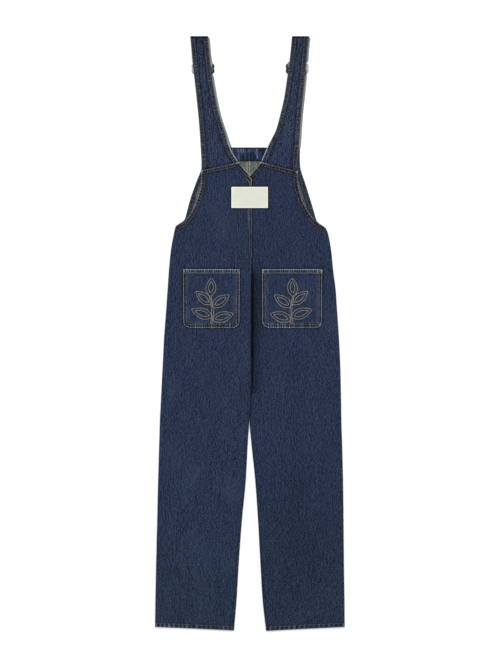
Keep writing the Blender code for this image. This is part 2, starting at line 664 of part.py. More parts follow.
def back_pocket(side, layers, material):
    left, right = POCKET_SIDES[side]
    bottom = POCKET_TOP_Y - POCKET_HEIGHT
    straight = corner_rows(left, right, POCKET_TOP_Y, bottom, POCKET_CORNER, POCKET_TAPER)
    hem_y = POCKET_TOP_Y - POCKET_HEM
    ys = [POCKET_TOP_Y, hem_y, hem_y - BAND_STEP]
    lowest = bottom + POCKET_CORNER
    ys += [mix(hem_y, lowest, k / POCKET_ROWS) for k in range(1, POCKET_ROWS)]
    rows = []
    for y in ys:
        draw_in = POCKET_TAPER * (POCKET_TOP_Y - y) / POCKET_HEIGHT
        rows.append((y, left + draw_in, right - draw_in))
    return lying_panel("back_pocket_" + side, rows + straight, POCKET_COLUMNS, layers, material,
                       lambda y: POCKET_HEM_CLOTH if y > hem_y - BAND_STEP / 2 else CLOTH)


def back_patch(layers, material):
    cx, cy = PATCH_CENTRE
    half_w, half_h = PATCH_SIZE[0] / 2, PATCH_SIZE[1] / 2
    foot = corner_rows(cx - half_w, cx + half_w, cy + half_h, cy - half_h, PATCH_CORNER, 0.0)
    head = [(2 * cy - y, left, right) for y, left, right in reversed(foot)]
    ys = [mix(head[-1][0], foot[0][0], k / PATCH_ROWS) for k in range(1, PATCH_ROWS)]
    rows = head + [(y, cx - half_w, cx + half_w) for y in ys] + foot
    return lying_panel("back_patch", rows, PATCH_COLUMNS, layers, material, lambda y: PATCH_THICKNESS)


def bib_facing(material):
    low = CLOTH + SEAM_GAP
    upper, lower = [], []
    for y in (BIB_TOP_Y - EDGE_SETBACK, BIB_TOP_Y - FACING_DEPTH):
        xs = [mix(*FACING_SIDES, k / FACING_COLUMNS) for k in range(FACING_COLUMNS + 1)]
        lower.append([(x, y, low) for x in xs])
        upper.append([(x, y, low + CLOTH) for x in xs])
    return wall_between("bib_facing", upper, lower, material)


def front_hem(side, material):
    """The turned edge along a front armhole, lying on the front's inner face."""
    sign = -1 if side == "left" else 1
    rows = FRONT_TOP_ROWS[side]
    foot = HALF_ROWS[side][0]
    places = [-row.arm_y for row in rows] + [-foot.side_y]
    edge_xs = [row.arm_x for row in rows] + [foot.side]
    top = BIB_TOP_Y - EDGE_BAND
    bottom = rows[-1].arm_y + HEM_FOOT_GAP
    low = CLOTH + SEAM_GAP
    upper, lower = [], []
    for k in range(HEM_STEPS + 1):
        y = mix(top, bottom, k / HEM_STEPS)
        edge = smooth_through(places, edge_xs, -y)
        lean = (smooth_through(places, edge_xs, -y - HEM_STEP_Y) - edge) / HEM_STEP_Y
        inward = Vector((-sign, -sign * lean)).normalized()
        outer = Vector((edge - sign * EDGE_SETBACK, y))
        line = [outer + inward * EDGE_BAND * share for share in (0.0, 0.5, 1.0)]
        lower.append([(p.x, p.y, low) for p in line])
        upper.append([(p.x, p.y, low + FRONT_HEM_CLOTH) for p in line])
    return wall_between("front_hem_" + side, upper, lower, material)


def slider_outline():
    """One quarter at a time: a plate with round corners and a notch in each end."""
    half_w, half_h = SLIDER_WIDTH / 2, SLIDER_HEIGHT / 2
    r = SLIDER_LOBE_RADIUS
    quarter = []
    for depth_share in NOTCH_SHARES:
        y = SLIDER_NOTCH_WIDTH * (1 - depth_share) * NOTCH_FLARE
        quarter.append((half_w - SLIDER_NOTCH_DEPTH * depth_share, y))
    for k in range(5):
        angle = math.pi / 2 * k / 4
        quarter.append((half_w - r + r * math.cos(angle), half_h - r + r * math.sin(angle)))
    upper = quarter + [(-x, y) for x, y in reversed(quarter)]
    lower = [(x, -y) for x, y in reversed(upper)]
    points = []
    for point in upper + lower:
        if not points or math.dist(point, points[-1]) > 1e-6:
            points.append(point)
    if math.dist(points[0], points[-1]) < 1e-6:
        points.pop()
    return points


def prism(name, outline, low, high, material):
    count = len(outline)
    vertices = [(x, y, low) for x, y in outline] + [(x, y, high) for x, y in outline]
    faces = [list(range(count))[::-1], list(range(count, 2 * count))]
    faces += [[k, (k + 1) % count, count + (k + 1) % count, count + k] for k in range(count)]
    return new_object(name, vertices, faces, material)


def slider(side, material):
    arm_x, neck_x = read_strap(side, SLIDER_Y)
    centre_x = (arm_x + neck_x) / 2 + SLIDER_SHIFT[side]
    plate = prism("slider_" + side, slider_outline(), 0.0, SLIDER_THICKNESS, material)
    slot_height = (SLIDER_HEIGHT - 3 * SLIDER_BAR) / 2
    for name, way in (("upper", 1), ("lower", -1)):
        middle = way * (SLIDER_BAR + slot_height) / 2
        w, h = SLIDER_SLOT_WIDTH / 2, slot_height / 2
        box = [(-w, middle - h), (w, middle - h), (w, middle + h), (-w, middle + h)]
        cutter = prism(f"slot_{name}_{side}", box, -SLIDER_THICKNESS, 2 * SLIDER_THICKNESS, material)
        cutter.hide_render = True
        cutter.display_type = "WIRE"
        cutter.parent = plate
        cut = plate.modifiers.new("slot_" + name, "BOOLEAN")
        cut.operation = "DIFFERENCE"
        cut.solver = "EXACT"
        cut.object = cutter
    bevel = plate.modifiers.new("worn_edges", "BEVEL")
    bevel.width = SLIDER_BEVEL
    bevel.segments = 1
    bevel.limit_method = "ANGLE"
    bevel.angle_limit = math.radians(BEVEL_ANGLE)
    plate.location = (centre_x, SLIDER_Y, SLIDER_Z)
    return plate


def main():
    for old in list(bpy.data.objects):
        bpy.data.objects.remove(old)
    layers = Layers()
    for side in ("left", "right"):
        layers.add(front_panel(side, new_material("front_denim_" + side, "denim")))
    for side in ("left", "right"):
        layers.add(front_hem(side, new_material("front_hem_denim_" + side, "denim")))
        layers.add(front_strap(side, new_material("front_strap_inside_" + side, "denim_inside")))
    layers.add(bib_facing(new_material("facing_denim", "denim")))
    for side in ("left", "right"):
        layers.add(back_strap(side, new_material("strap_denim_" + side, "denim")))
        slider(side, new_material("slider_brass_" + side, "brass"))
    halves = [back_panel(side, layers, new_material("back_denim_" + side, "denim"))
              for side in ("left", "right")]
    for half in halves:
        layers.add(half)
    for side in ("left", "right"):
        back_pocket(side, layers, new_material("pocket_denim_" + side, "denim"))
    back_patch(layers, new_material("patch_cloth", "patch"))


main()
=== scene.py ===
import math
from collections import namedtuple

import bpy
import numpy as np
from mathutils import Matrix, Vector
from mathutils.bvhtree import BVHTree


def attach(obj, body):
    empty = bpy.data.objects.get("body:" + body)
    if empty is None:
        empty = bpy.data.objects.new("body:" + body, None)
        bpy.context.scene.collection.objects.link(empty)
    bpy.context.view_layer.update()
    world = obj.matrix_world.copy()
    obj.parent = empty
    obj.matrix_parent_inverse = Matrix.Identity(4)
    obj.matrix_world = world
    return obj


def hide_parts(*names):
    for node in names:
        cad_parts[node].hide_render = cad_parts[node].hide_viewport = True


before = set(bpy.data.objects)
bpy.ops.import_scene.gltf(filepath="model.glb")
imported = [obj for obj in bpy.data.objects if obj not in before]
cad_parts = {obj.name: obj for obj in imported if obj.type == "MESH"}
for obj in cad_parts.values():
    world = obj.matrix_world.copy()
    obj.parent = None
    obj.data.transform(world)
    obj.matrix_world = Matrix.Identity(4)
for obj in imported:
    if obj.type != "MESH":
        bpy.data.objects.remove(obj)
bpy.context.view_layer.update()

SIDES = ("left", "right")
SIGN = {"left": -1, "right": 1}
BACK_SEED = {"left": 100, "right": 200}
STRAP_SEED = {"left": 400, "right": 420}
POCKET_SEED = {"left": 500, "right": 520}
SHARP_ANGLE = math.radians(50)

# Cloth, seams and rolled edges, as in the solids
CLOTH = 0.0012
HEM_CLOTH = 0.0020
SEAM_GAP = 0.0003
HALF_GAP = SEAM_GAP / 2
HEM_BAND = 0.0115
EDGE_BAND = 0.0107
STRAP_BAND = 0.0118
PATCH_THICKNESS = 0.0014
OUTER_ROLL = 0.0035
INNER_ROLL = {"left": 0.0035, "right": 0.0060}
FRONT_EDGE_Z = 0.0019
BACK_EDGE_Z = 0.0024
EDGE_RISE_REACH = 0.028
SIDE_SEAM_TOP_Y, SIDE_ROLL_FULL_Y = 0.268, 0.232
SEAT_GROOVE_TOP_Y, SEAT_GROOVE_FULL_Y = 0.180, 0.110
CROTCH_TOP_Y, CROTCH_FULL_Y = 0.010, -0.040

# Straps and sliders
STRAP_TOP_Y = 0.7430
SLIDER_Y = 0.6620
SLIDER_HEIGHT = 0.0240
SLIDER_THICKNESS = 0.0020
SLIDER_Z = 0.0030
SLIDER_BAR = 0.0035
SLOT_FILL = 0.0464         # width of a strip inside the slider
FOLD_RADIUS = 0.0019
TAIL_LENGTH = 0.045
LOOP_LENGTH = 0.022
FRONT_SHIFT = 0.0050       # the front layer lies this far to the right of the back layer
LOWER_SHIFT = 0.0045       # so does the strap's lower run, between the fold and the slider
SLIDER_SHIFT = {"left": 0.0025, "right": 0.0000}

# Pockets, patch and facing
POCKET_TOP_Y = 0.1612
POCKET_HEIGHT = 0.1470
POCKET_CORNER = 0.0170
POCKET_HEM = 0.0108
POCKET_TAPER = 0.0008
POCKET_SIDES = {"left": (-0.1677, -0.0252), "right": (0.0296, 0.1806)}
PATCH_CENTRE = (-0.0009, 0.3400)
PATCH_SIZE = (0.0913, 0.0528)
PATCH_CORNER = 0.0015
BIB_TOP_Y = 0.4650
FACING_DEPTH = 0.0345
FACING_SIDES = (-0.0480, 0.0490)
HEM_LAYER = 0.0010         # thickness of the front armhole's turned hem, pressed flat
HEM_SETBACK = 0.0004       # its fold stands this far outside the front's edge
FRONT_HEM_WIDTH = {"left": 0.0125, "right": 0.0170}

# Sewing
OUTER_ROW = 0.0021         # the first row of stitches, from the edge
INNER_ROW = 0.0086         # the second row
STRAP_INNER_ROW = 0.0098
STITCH = 0.0031            # from one stitch to the next
THREAD_RADIUS = 0.00042
FINE_THREAD = 0.00034
HEM_THREAD = 0.00062
TACK_THREAD = 0.00038
TACK_STEP = 0.0007
TACK_LIFT = 0.0001


def rows_of(kind, rows):
    """A table's rows with named columns."""
    return [kind(*row) for row in rows]


# Below the armholes: the side fold, the middle edges and the heights of the back's upper face
HalfRow = namedtuple("HalfRow", "side_y side centre_y back_centre front_centre side_z middle_z centre_z")
HALF_ROWS = {
    "left": rows_of(HalfRow, [
        (0.268, -0.1850, 0.268, 0.0025, -0.0010, 0.0042, 0.0027, 0.0027),
        (0.249, -0.1900, 0.249, 0.0028, -0.0010, 0.0050, 0.0028, 0.0027),
        (0.209, -0.1975, 0.209, 0.0031, -0.0010, 0.0056, 0.0030, 0.0027),
        (0.159, -0.2025, 0.159, 0.0033, -0.0010, 0.0058, 0.0036, 0.0040),
        (0.109, -0.2060, 0.109, 0.0033, -0.0010, 0.0058, 0.0042, 0.0063),
        (0.059, -0.2095, 0.059, 0.0033, -0.0010, 0.0060, 0.0044, 0.0063),
        (-0.016, -0.2150, -0.016, 0.0033, 0.0012, 0.0060, 0.0038, 0.0063),
        (-0.066, -0.2175, -0.066, 0.0033, 0.0033, 0.0060, 0.0034, 0.0063),
        (-0.116, -0.2200, -0.116, 0.0033, 0.0033, 0.0060, 0.0031, 0.0063),
        (-0.166, -0.2225, -0.166, 0.0012, 0.0012, 0.0060, 0.0031, 0.0062),
        (-0.216, -0.2250, -0.216, -0.0015, -0.0015, 0.0060, 0.0032, 0.0060),
        (-0.266, -0.2265, -0.266, -0.0050, -0.0050, 0.0059, 0.0036, 0.0059),
        (-0.366, -0.2295, -0.366, -0.0105, -0.0105, 0.0058, 0.0032, 0.0058),
        (-0.466, -0.2318, -0.466, -0.0200, -0.0200, 0.0058, 0.0035, 0.0058),
        (-0.566, -0.2343, -0.566, -0.0275, -0.0275, 0.0056, 0.0031, 0.0057),
        (-0.666, -0.2363, -0.666, -0.0335, -0.0335, 0.0056, 0.0034, 0.0057),
        (-0.733, -0.2373, -0.742, -0.0400, -0.0400, 0.0060, 0.0048, 0.0060),
    ]),
    "right": rows_of(HalfRow, [
        (0.264, 0.1885, 0.264, 0.0025, -0.0010, 0.0042, 0.0027, 0.0027),
        (0.249, 0.1950, 0.249, 0.0028, -0.0010, 0.0050, 0.0028, 0.0027),
        (0.209, 0.2025, 0.209, 0.0031, -0.0010, 0.0056, 0.0029, 0.0027),
        (0.159, 0.2077, 0.159, 0.0033, -0.0010, 0.0058, 0.0034, 0.0034),
        (0.109, 0.2140, 0.109, 0.0033, -0.0010, 0.0058, 0.0040, 0.0052),
        (0.059, 0.2175, 0.059, 0.0033, -0.0010, 0.0060, 0.0042, 0.0052),
        (-0.016, 0.2225, -0.016, 0.0033, 0.0012, 0.0060, 0.0036, 0.0052),
        (-0.066, 0.2250, -0.066, 0.0033, 0.0033, 0.0060, 0.0031, 0.0053),
        (-0.116, 0.2265, -0.116, 0.0033, 0.0033, 0.0060, 0.0030, 0.0054),
        (-0.166, 0.2275, -0.166, 0.0012, 0.0012, 0.0060, 0.0030, 0.0055),
        (-0.216, 0.2282, -0.216, -0.0012, -0.0012, 0.0060, 0.0031, 0.0057),
        (-0.266, 0.2298, -0.266, 0.0025, 0.0025, 0.0059, 0.0031, 0.0058),
        (-0.366, 0.2324, -0.366, 0.0128, 0.0128, 0.0058, 0.0034, 0.0058),
        (-0.466, 0.2337, -0.466, 0.0200, 0.0200, 0.0058, 0.0031, 0.0058),
        (-0.566, 0.2346, -0.566, 0.0255, 0.0255, 0.0056, 0.0035, 0.0057),
        (-0.666, 0.2360, -0.666, 0.0315, 0.0315, 0.0056, 0.0032, 0.0057),
        (-0.733, 0.2366, -0.743, 0.0400, 0.0400, 0.0060, 0.0048, 0.0060),
    ]),
}

# Above the side seams a row runs from the armhole to the V of the back or the middle of the bib
TopRow = namedtuple("TopRow", "arm_x arm_y centre_x centre_y")
BACK_TOP_ROWS = {
    "left": rows_of(TopRow, [
        (-0.1213, 0.4075, -0.0288, 0.4275),
        (-0.1216, 0.3975, -0.0210, 0.4185),
        (-0.1220, 0.3850, -0.0105, 0.4067),
        (-0.1228, 0.3700, 0.0000, 0.3948),
        (-0.1267, 0.3540, 0.0005, 0.3760),
        (-0.1315, 0.3383, 0.0008, 0.3560),
        (-0.1370, 0.3223, 0.0012, 0.3360),
        (-0.1450, 0.3063, 0.0015, 0.3170),
        (-0.1555, 0.2903, 0.0018, 0.2990),
        (-0.1683, 0.2765, 0.0021, 0.2825),
    ]),
    "right": rows_of(TopRow, [
        (0.1187, 0.4050, 0.0275, 0.4288),
        (0.1190, 0.3950, 0.0200, 0.4195),
        (0.1196, 0.3830, 0.0100, 0.4070),
        (0.1210, 0.3690, 0.0000, 0.3948),
        (0.1245, 0.3540, 0.0005, 0.3760),
        (0.1315, 0.3318, 0.0008, 0.3540),
        (0.1412, 0.3128, 0.0012, 0.3340),
        (0.1508, 0.2968, 0.0015, 0.3150),
        (0.1650, 0.2808, 0.0018, 0.2950),
        (0.1765, 0.2722, 0.0021, 0.2800),
    ]),
}
V_ROWS = 4                 # rows of the back's tables that end on the V
FRONT_TOP_ROWS = {
    "left": rows_of(TopRow, [
        (-0.1175, 0.4650, -0.0010, 0.4650),
        (-0.1190, 0.4400, -0.0010, 0.4400),
        (-0.1203, 0.4180, -0.0010, 0.4180),
        (-0.1345, 0.3780, -0.0010, 0.3780),
        (-0.1483, 0.3388, -0.0010, 0.3388),
        (-0.1560, 0.3110, -0.0010, 0.3110),
        (-0.1640, 0.2840, -0.0010, 0.2860),
    ]),
    "right": rows_of(TopRow, [
        (0.1255, 0.4650, -0.0010, 0.4650),
        (0.1245, 0.4400, -0.0010, 0.4400),
        (0.1255, 0.4180, -0.0010, 0.4180),
        (0.1372, 0.3780, -0.0010, 0.3780),
        (0.1508, 0.3350, -0.0010, 0.3350),
        (0.1603, 0.3030, -0.0010, 0.3030),
        (0.1675, 0.2800, -0.0010, 0.2810),
    ]),
}

# The edges of a back strap, armhole side and neck side, from the yoke seam up to the fold
StrapRow = namedtuple("StrapRow", "y arm_x neck_x")
STRAP_ROWS = {
    "left": rows_of(StrapRow, [
        (0.4280, -0.1212, -0.0292),
        (0.4588, -0.1228, -0.0475),
        (0.5088, -0.1260, -0.0650),
        (0.5438, -0.1290, -0.0763),
        (0.5938, -0.1341, -0.0873),
        (0.6413, -0.1393, -0.0953),
        (0.6888, -0.1447, -0.1005),
        (0.7430, -0.1493, -0.1053),
    ]),
    "right": rows_of(StrapRow, [
        (0.4290, 0.1187, 0.0280),
        (0.4688, 0.1225, 0.0450),
        (0.5088, 0.1250, 0.0650),
        (0.5438, 0.1275, 0.0750),
        (0.5925, 0.1323, 0.0860),
        (0.6413, 0.1370, 0.0933),
        (0.6888, 0.1415, 0.0998),
        (0.7430, 0.1470, 0.1050),
    ]),
}
STRAP_BASE_Y = {"left": (0.3985, 0.4180), "right": (0.3965, 0.4190)}

# Height of the back strap's underside above the floor, by distance above the slider's middle.
# Its foot lies under the turned top edge of the back.
StrapRest = namedtuple("StrapRest", "above_slider z")
STRAP_REST = rows_of(StrapRest, [
    (-0.265, 0.0015),
    (-0.085, 0.0015),
    (-0.062, 0.0030),
    (-0.046, 0.0032),
    (-0.036, 0.0046),
    (-0.024, 0.0058),
    (-0.012, 0.0068),
    (0.022, 0.0068),
    (0.034, 0.0040),
    (0.048, 0.0018),
    (0.062, 0.0018),
    (0.074, 0.0034),
])

# Soft folds of the back: ends, height at the middle (a trough is below 0), half width, and the painted
# light along it: a painted highlight above 0, painted shade below 0
Fold = namedtuple("Fold", "x0 y0 x1 y1 height width fade")
FOLDS = rows_of(Fold, [
    (-0.116, -0.322, -0.147, -0.378, 0.0011, 0.007, 0.30),
    (-0.083, -0.142, -0.087, -0.242, -0.0008, 0.013, -0.16),
    (-0.087, -0.242, -0.120, -0.434, -0.0008, 0.012, -0.16),
    (-0.185, -0.129, -0.200, -0.160, 0.0009, 0.006, 0.25),
    (-0.158, -0.204, -0.175, -0.234, 0.0009, 0.006, 0.22),
    (-0.050, -0.330, -0.057, -0.484, 0.0007, 0.012, 0.12),
    (0.088, -0.010, 0.112, -0.130, -0.0009, 0.012, -0.18),
    (0.112, -0.130, 0.117, -0.230, -0.0009, 0.012, -0.18),
    (0.117, -0.230, 0.105, -0.366, -0.0008, 0.012, -0.16),
    (0.168, -0.354, 0.155, -0.416, 0.0008, 0.007, 0.22),
    (0.093, -0.500, 0.093, -0.566, -0.0007, 0.010, -0.14),
    (-0.142, -0.560, -0.128, -0.640, 0.0006, 0.010, 0.12),
    (0.170, -0.590, 0.160, -0.680, 0.0006, 0.010, 0.12),
    (0.060, 0.240, 0.150, 0.205, -0.0004, 0.010, -0.10),
    (-0.150, 0.235, -0.060, 0.205, -0.0004, 0.010, -0.10),
])


# Reading the tables

def smoothstep(start, end, value):
    share = np.clip((np.asarray(value, float) - start) / (end - start), 0.0, 1.0)
    return share * share * (3 - 2 * share)


def mix(a, b, share):
    return a + (b - a) * share


def bell(value, width):
    return np.exp(-(np.asarray(value) / width) ** 2)


def smooth_through(places, values, wanted):
    """Read a smooth curve through (places, values) that never overshoots them."""
    places, values = np.asarray(places, float), np.asarray(values, float)
    steps = np.diff(places)
    slopes = np.diff(values) / steps
    product = slopes[:-1] * slopes[1:]
    total = np.where(product > 0, slopes[:-1] + slopes[1:], 1.0)
    tangents = np.concatenate([slopes[:1], np.where(product > 0, 2 * product / total, 0.0), slopes[-1:]])
    wanted = np.clip(wanted, places[0], places[-1])
    i = np.clip(np.searchsorted(places, wanted, side="right") - 1, 0, len(steps) - 1)
    t = (wanted - places[i]) / steps[i]
    return ((1 + 2 * t) * (1 - t) ** 2 * values[i] + t * (1 - t) ** 2 * steps[i] * tangents[i]
            + t * t * (3 - 2 * t) * values[i + 1] + t * t * (t - 1) * steps[i] * tangents[i + 1])


def resample(line, spacing):
    """Points spread evenly along a line, about one spacing apart."""
    line = np.asarray(line, float)
    lengths = np.concatenate([[0.0], np.cumsum(np.hypot(*np.diff(line[:, :2], axis=0).T))])
    count = max(1, int(round(lengths[-1] / spacing)))
    wanted = np.linspace(0.0, lengths[-1], count + 1)
    return np.stack([np.interp(wanted, lengths, column) for column in line.T], axis=1)


def shifted(line, distance):
    """A line moved sideways, to its left where the distance is above 0."""
    line = np.asarray(line, float)
    run = np.gradient(line, axis=0)
    run /= np.linalg.norm(run, axis=1)[:, None]
    return line + distance * np.stack([-run[:, 1], run[:, 0]], axis=1)


def line_places(x, y, line):
    """How far along a line the nearest place to each point is, and how far away."""
    best = np.full(x.shape, np.inf)
    along = np.zeros(x.shape)
    start = 0.0
    for a, b in zip(line, line[1:]):
        run = np.subtract(b, a)
        length = math.hypot(*run)
        t = np.clip(((x - a[0]) * run[0] + (y - a[1]) * run[1]) / length ** 2, 0.0, 1.0)
        away = np.hypot(x - a[0] - t * run[0], y - a[1] - t * run[1])
        closer = away < best
        best = np.where(closer, away, best)
        along = np.where(closer, start + t * length, along)
        start += length
    return along, best


# Unevenness

def lattice(x, y, spacing_x, spacing_y, seed):
    """Smooth noise between -1 and 1 with its own spacing each way."""
    table = np.random.default_rng(seed).uniform(-1, 1, (64, 64))
    u, v = x / spacing_x + 31.5, y / spacing_y + 31.5
    i, j = np.floor(u).astype(int), np.floor(v).astype(int)
    fu, fv = smoothstep(0, 1, u - i), smoothstep(0, 1, v - j)

    def at(a, b):
        return table[a % 64, b % 64]

    low = mix(at(i, j), at(i + 1, j), fu)
    high = mix(at(i, j + 1), at(i + 1, j + 1), fu)
    return mix(low, high, fv)


def puckers(along, pitch, seed):
    """Small humps along a sewn edge, about one pitch apart and uneven in size."""
    rng = np.random.default_rng(seed)
    heights = rng.uniform(0.35, 1.0, 512) * np.where(np.arange(512) % 2, -1, 1)
    places = np.cumsum(rng.uniform(0.36, 0.64, 512)) * pitch
    return np.interp(along, places, heights)


# Meshes

def grid_of(x, y, z):
    return np.stack([x, y, z], axis=2)


def grid_faces(rows, columns):
    index = np.arange(rows * columns).reshape(rows, columns)
    corners = [index[:-1, :-1], index[:-1, 1:], index[1:, 1:], index[1:, :-1]]
    return np.stack(corners, axis=-1).reshape(-1, 4)


def add_object(name, data, place=(0.0, 0.0, 0.0)):
    thing = bpy.data.objects.new(name, data)
    thing.location = place
    bpy.context.scene.collection.objects.link(thing)
    return thing


def add_piece(name, mesh):
    piece = add_object(name, mesh)
    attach(piece, "root")
    return piece


def wall_between(name, outer, inner, turned, tones_and_painted_light, tints, materials):
    """A closed wall between two grids of points, each side with its own tone and painted light, tint and
    material.
    """
    rows, columns = outer.shape[:2]
    count = rows * columns
    index = np.arange(count).reshape(rows, columns)
    quads = grid_faces(rows, columns)
    ring = np.concatenate([index[0], index[1:, -1], index[-1, -2::-1], index[-2:0:-1, 0]])
    after = np.roll(ring, -1)
    border = np.stack([ring, ring + count, after + count, after], axis=1)
    if turned:
        faces = np.concatenate([quads[:, ::-1], quads + count, border[:, ::-1]])
    else:
        faces = np.concatenate([quads, quads[:, ::-1] + count, border])
    mesh = bpy.data.meshes.new(name)
    vertices = np.concatenate([outer.reshape(-1, 3), inner.reshape(-1, 3)])
    mesh.from_pydata(vertices.tolist(), [], faces.tolist())
    for label, pair in (("fade", tones_and_painted_light), ("tint", tints)):
        values = np.concatenate([np.broadcast_to(each, (rows, columns)).ravel() for each in pair])
        attribute = mesh.attributes.new(label, "FLOAT", "POINT")
        attribute.data.foreach_set("value", values.astype(np.float32))
    for material in materials:
        mesh.materials.append(material)
    if len(materials) > 1:
        kinds = np.zeros(len(faces), int)
        kinds[len(quads):2 * len(quads)] = 1
        mesh.polygons.foreach_set("material_index", kinds)
    mesh.shade_smooth()
    mesh.set_sharp_from_angle(angle=SHARP_ANGLE)
    return add_piece(name, mesh)


def cloth_wall(name, face, thickness, fade, materials, outside=1, tint=0.0):
    """A sheet of cloth: a grid of points for its outer face, and its thickness at each of them."""
    rows, columns = face.shape[:2]
    normal = np.cross(np.gradient(face, axis=1), np.gradient(face, axis=0))
    normal /= np.linalg.norm(normal, axis=2)[:, :, None]
    middle = normal[rows // 2, columns // 2, 2]
    normal *= outside * (1 if middle > 0 else -1)
    inner = face - normal * np.broadcast_to(thickness, (rows, columns))[:, :, None]
    turned = middle * outside <= 0
    return wall_between(name, face, inner, turned, (fade, fade), (tint, tint), materials)


ABOVE_ALL = 0.1            # higher than every piece


class Surface:
    """The top of finished pieces, for the next one to lie on."""

    def __init__(self, *things):
        vertices, faces = [], []
        for thing in things:
            start = len(vertices)
            vertices += [v.co.copy() for v in thing.data.vertices]
            faces += [tuple(start + i for i in p.vertices) for p in thing.data.polygons]
        self.tree = BVHTree.FromPolygons(vertices, faces)

    def heights(self, x, y, missing=0.0):
        tops = []
        for px, py in zip(np.ravel(x), np.ravel(y)):
            hit = self.tree.ray_cast(Vector((px, py, ABOVE_ALL)), Vector((0, 0, -1)))[0]
            tops.append(missing if hit is None else hit.z)
        return np.reshape(tops, np.shape(x))


def neighbours(grid):
    wide = np.pad(grid, 1, mode="edge")
    rows, columns = grid.shape
    return np.stack([wide[i:i + rows, j:j + columns] for i in range(3) for j in range(3)])


def draped(heights, spread, softness):
    """Heights that clear a surface everywhere and run smoothly over its steps."""
    clear = neighbours(heights).max(axis=0)
    wide = heights
    for _ in range(spread):
        wide = neighbours(wide).max(axis=0)
    for _ in range(softness):
        wide = neighbours(wide).mean(axis=0)
    return np.maximum(clear, wide)


# Materials

def add_node(tree, kind, inputs=(), **settings):
    made = tree.nodes.new(kind)
    for name, value in settings.items():
        setattr(made, name, value)
    for name, value in dict(inputs).items():
        if isinstance(value, bpy.types.NodeSocket):
            tree.links.new(value, made.inputs[name])
        else:
            made.inputs[name].default_value = value
    return made


def maths(tree, operation, a, b, clamp=False):
    return add_node(tree, "ShaderNodeMath", {0: a, 1: b}, operation=operation, use_clamp=clamp).outputs[0]


def vector_maths(tree, operation, *inputs):
    made = add_node(tree, "ShaderNodeVectorMath", dict(enumerate(inputs)), operation=operation)
    return made.outputs[0]


def scaled(tree, colour, light):
    made = add_node(tree, "ShaderNodeVectorMath", {0: colour, "Scale": light}, operation="SCALE")
    return made.outputs[0]


def blend_colours(tree, factor, a, b):
    made = add_node(tree, "ShaderNodeMix", {0: factor, 6: a, 7: b}, data_type="RGBA")
    return made.outputs[2]


def ramp(tree, value, low, high, to_low=0.0, to_high=1.0):
    made = add_node(tree, "ShaderNodeMapRange", {0: value, 1: low, 2: high, 3: to_low, 4: to_high})
    return made.outputs[0]


def texture(tree, kind, coords, stretch, **inputs):
    mapping = add_node(tree, "ShaderNodeMapping", {"Vector": coords, "Scale": stretch})
    return add_node(tree, kind, {"Vector": mapping.outputs[0], "Scale": 1.0, **inputs})


def noise(tree, coords, stretch, detail=2.0, roughness=0.5):
    made = texture(tree, "ShaderNodeTexNoise", coords, stretch, Detail=detail, Roughness=roughness)
    return made.outputs[0]


def cells(tree, coords, stretch):
    """A random value for each slub of the yarn."""
    made = texture(tree, "ShaderNodeTexVoronoi", coords, stretch)
    return axis_of(tree, made.outputs["Color"], 0)


def axis_of(tree, vector, index):
    return add_node(tree, "ShaderNodeSeparateXYZ", {0: vector}).outputs[index]


def attribute_of(tree, name):
    return add_node(tree, "ShaderNodeAttribute", attribute_name=name).outputs["Fac"]


def diagonal_wave(tree, coords, scale, distortion):
    inputs = {"Vector": coords, "Scale": scale, "Distortion": distortion}
    return add_node(tree, "ShaderNodeTexWave", inputs, bands_direction="DIAGONAL").outputs["Fac"]


def new_material(name, roughness, metallic=0.0, specular=0.5, sheen=0.0):
    material = bpy.data.materials.new(name)
    material.use_nodes = True
    tree = material.node_tree
    shader = tree.nodes["Principled BSDF"]
    shader.inputs["Roughness"].default_value = roughness
    shader.inputs["Metallic"].default_value = metallic
    shader.inputs["Specular IOR Level"].default_value = specular
    shader.inputs["Sheen Weight"].default_value = sheen
    coords = add_node(tree, "ShaderNodeTexCoord").outputs["Object"]
    return material, tree, shader, coords


def finish_material(tree, shader, colour, height, distance):
    tree.links.new(colour, shader.inputs["Base Color"])
    bump = add_node(tree, "ShaderNodeBump", {"Height": height, "Distance": distance, "Strength": 1.0})
    tree.links.new(bump.outputs[0], shader.inputs["Normal"])


# Spots in a metre across the warp, along it and upwards
STREAKS = (400, 75, 400)
SLUBS = (420, 600, 420)
FINE_GRAIN = (640, 420, 640)
MOTTLING = (130, 90, 130)
CLOUDS = (16, 9, 16)
WARP_LINES = (120, 12, 120)
FLECKS = (430, 260, 430)
TWILL_LINES = 780.0
GRAIN_STEP = 0.0025        # the grain is set off against itself this far aside, which keeps it narrow
GRAIN_HUE = (1.20, 1.05, 0.82)
MOST = (0.25, 0.75)        # most of a noise lies in this range
DARKEST = (0.002, 0.003, 0.005)
SHADE_LIGHT = 0.10         # what is left of the light where the painted shade is deepest, at -1
LEG_FADE_Y = (-0.30, -0.72)    # over this height the legs turn a little greyer
LEG_HUE = (0.96, 1.0, 0.90)


def narrow_grain(tree, coords, read, low, high, swing):
    """Grain from -swing to swing, less a share of the same grain a little to the side."""
    beside = vector_maths(tree, "ADD", coords, (GRAIN_STEP, 0.0, 0.0))
    here = ramp(tree, read(coords), low, high, -swing, swing)
    there = ramp(tree, read(beside), low, high, -0.5 * swing, 0.5 * swing)
    return maths(tree, "SUBTRACT", here, there)


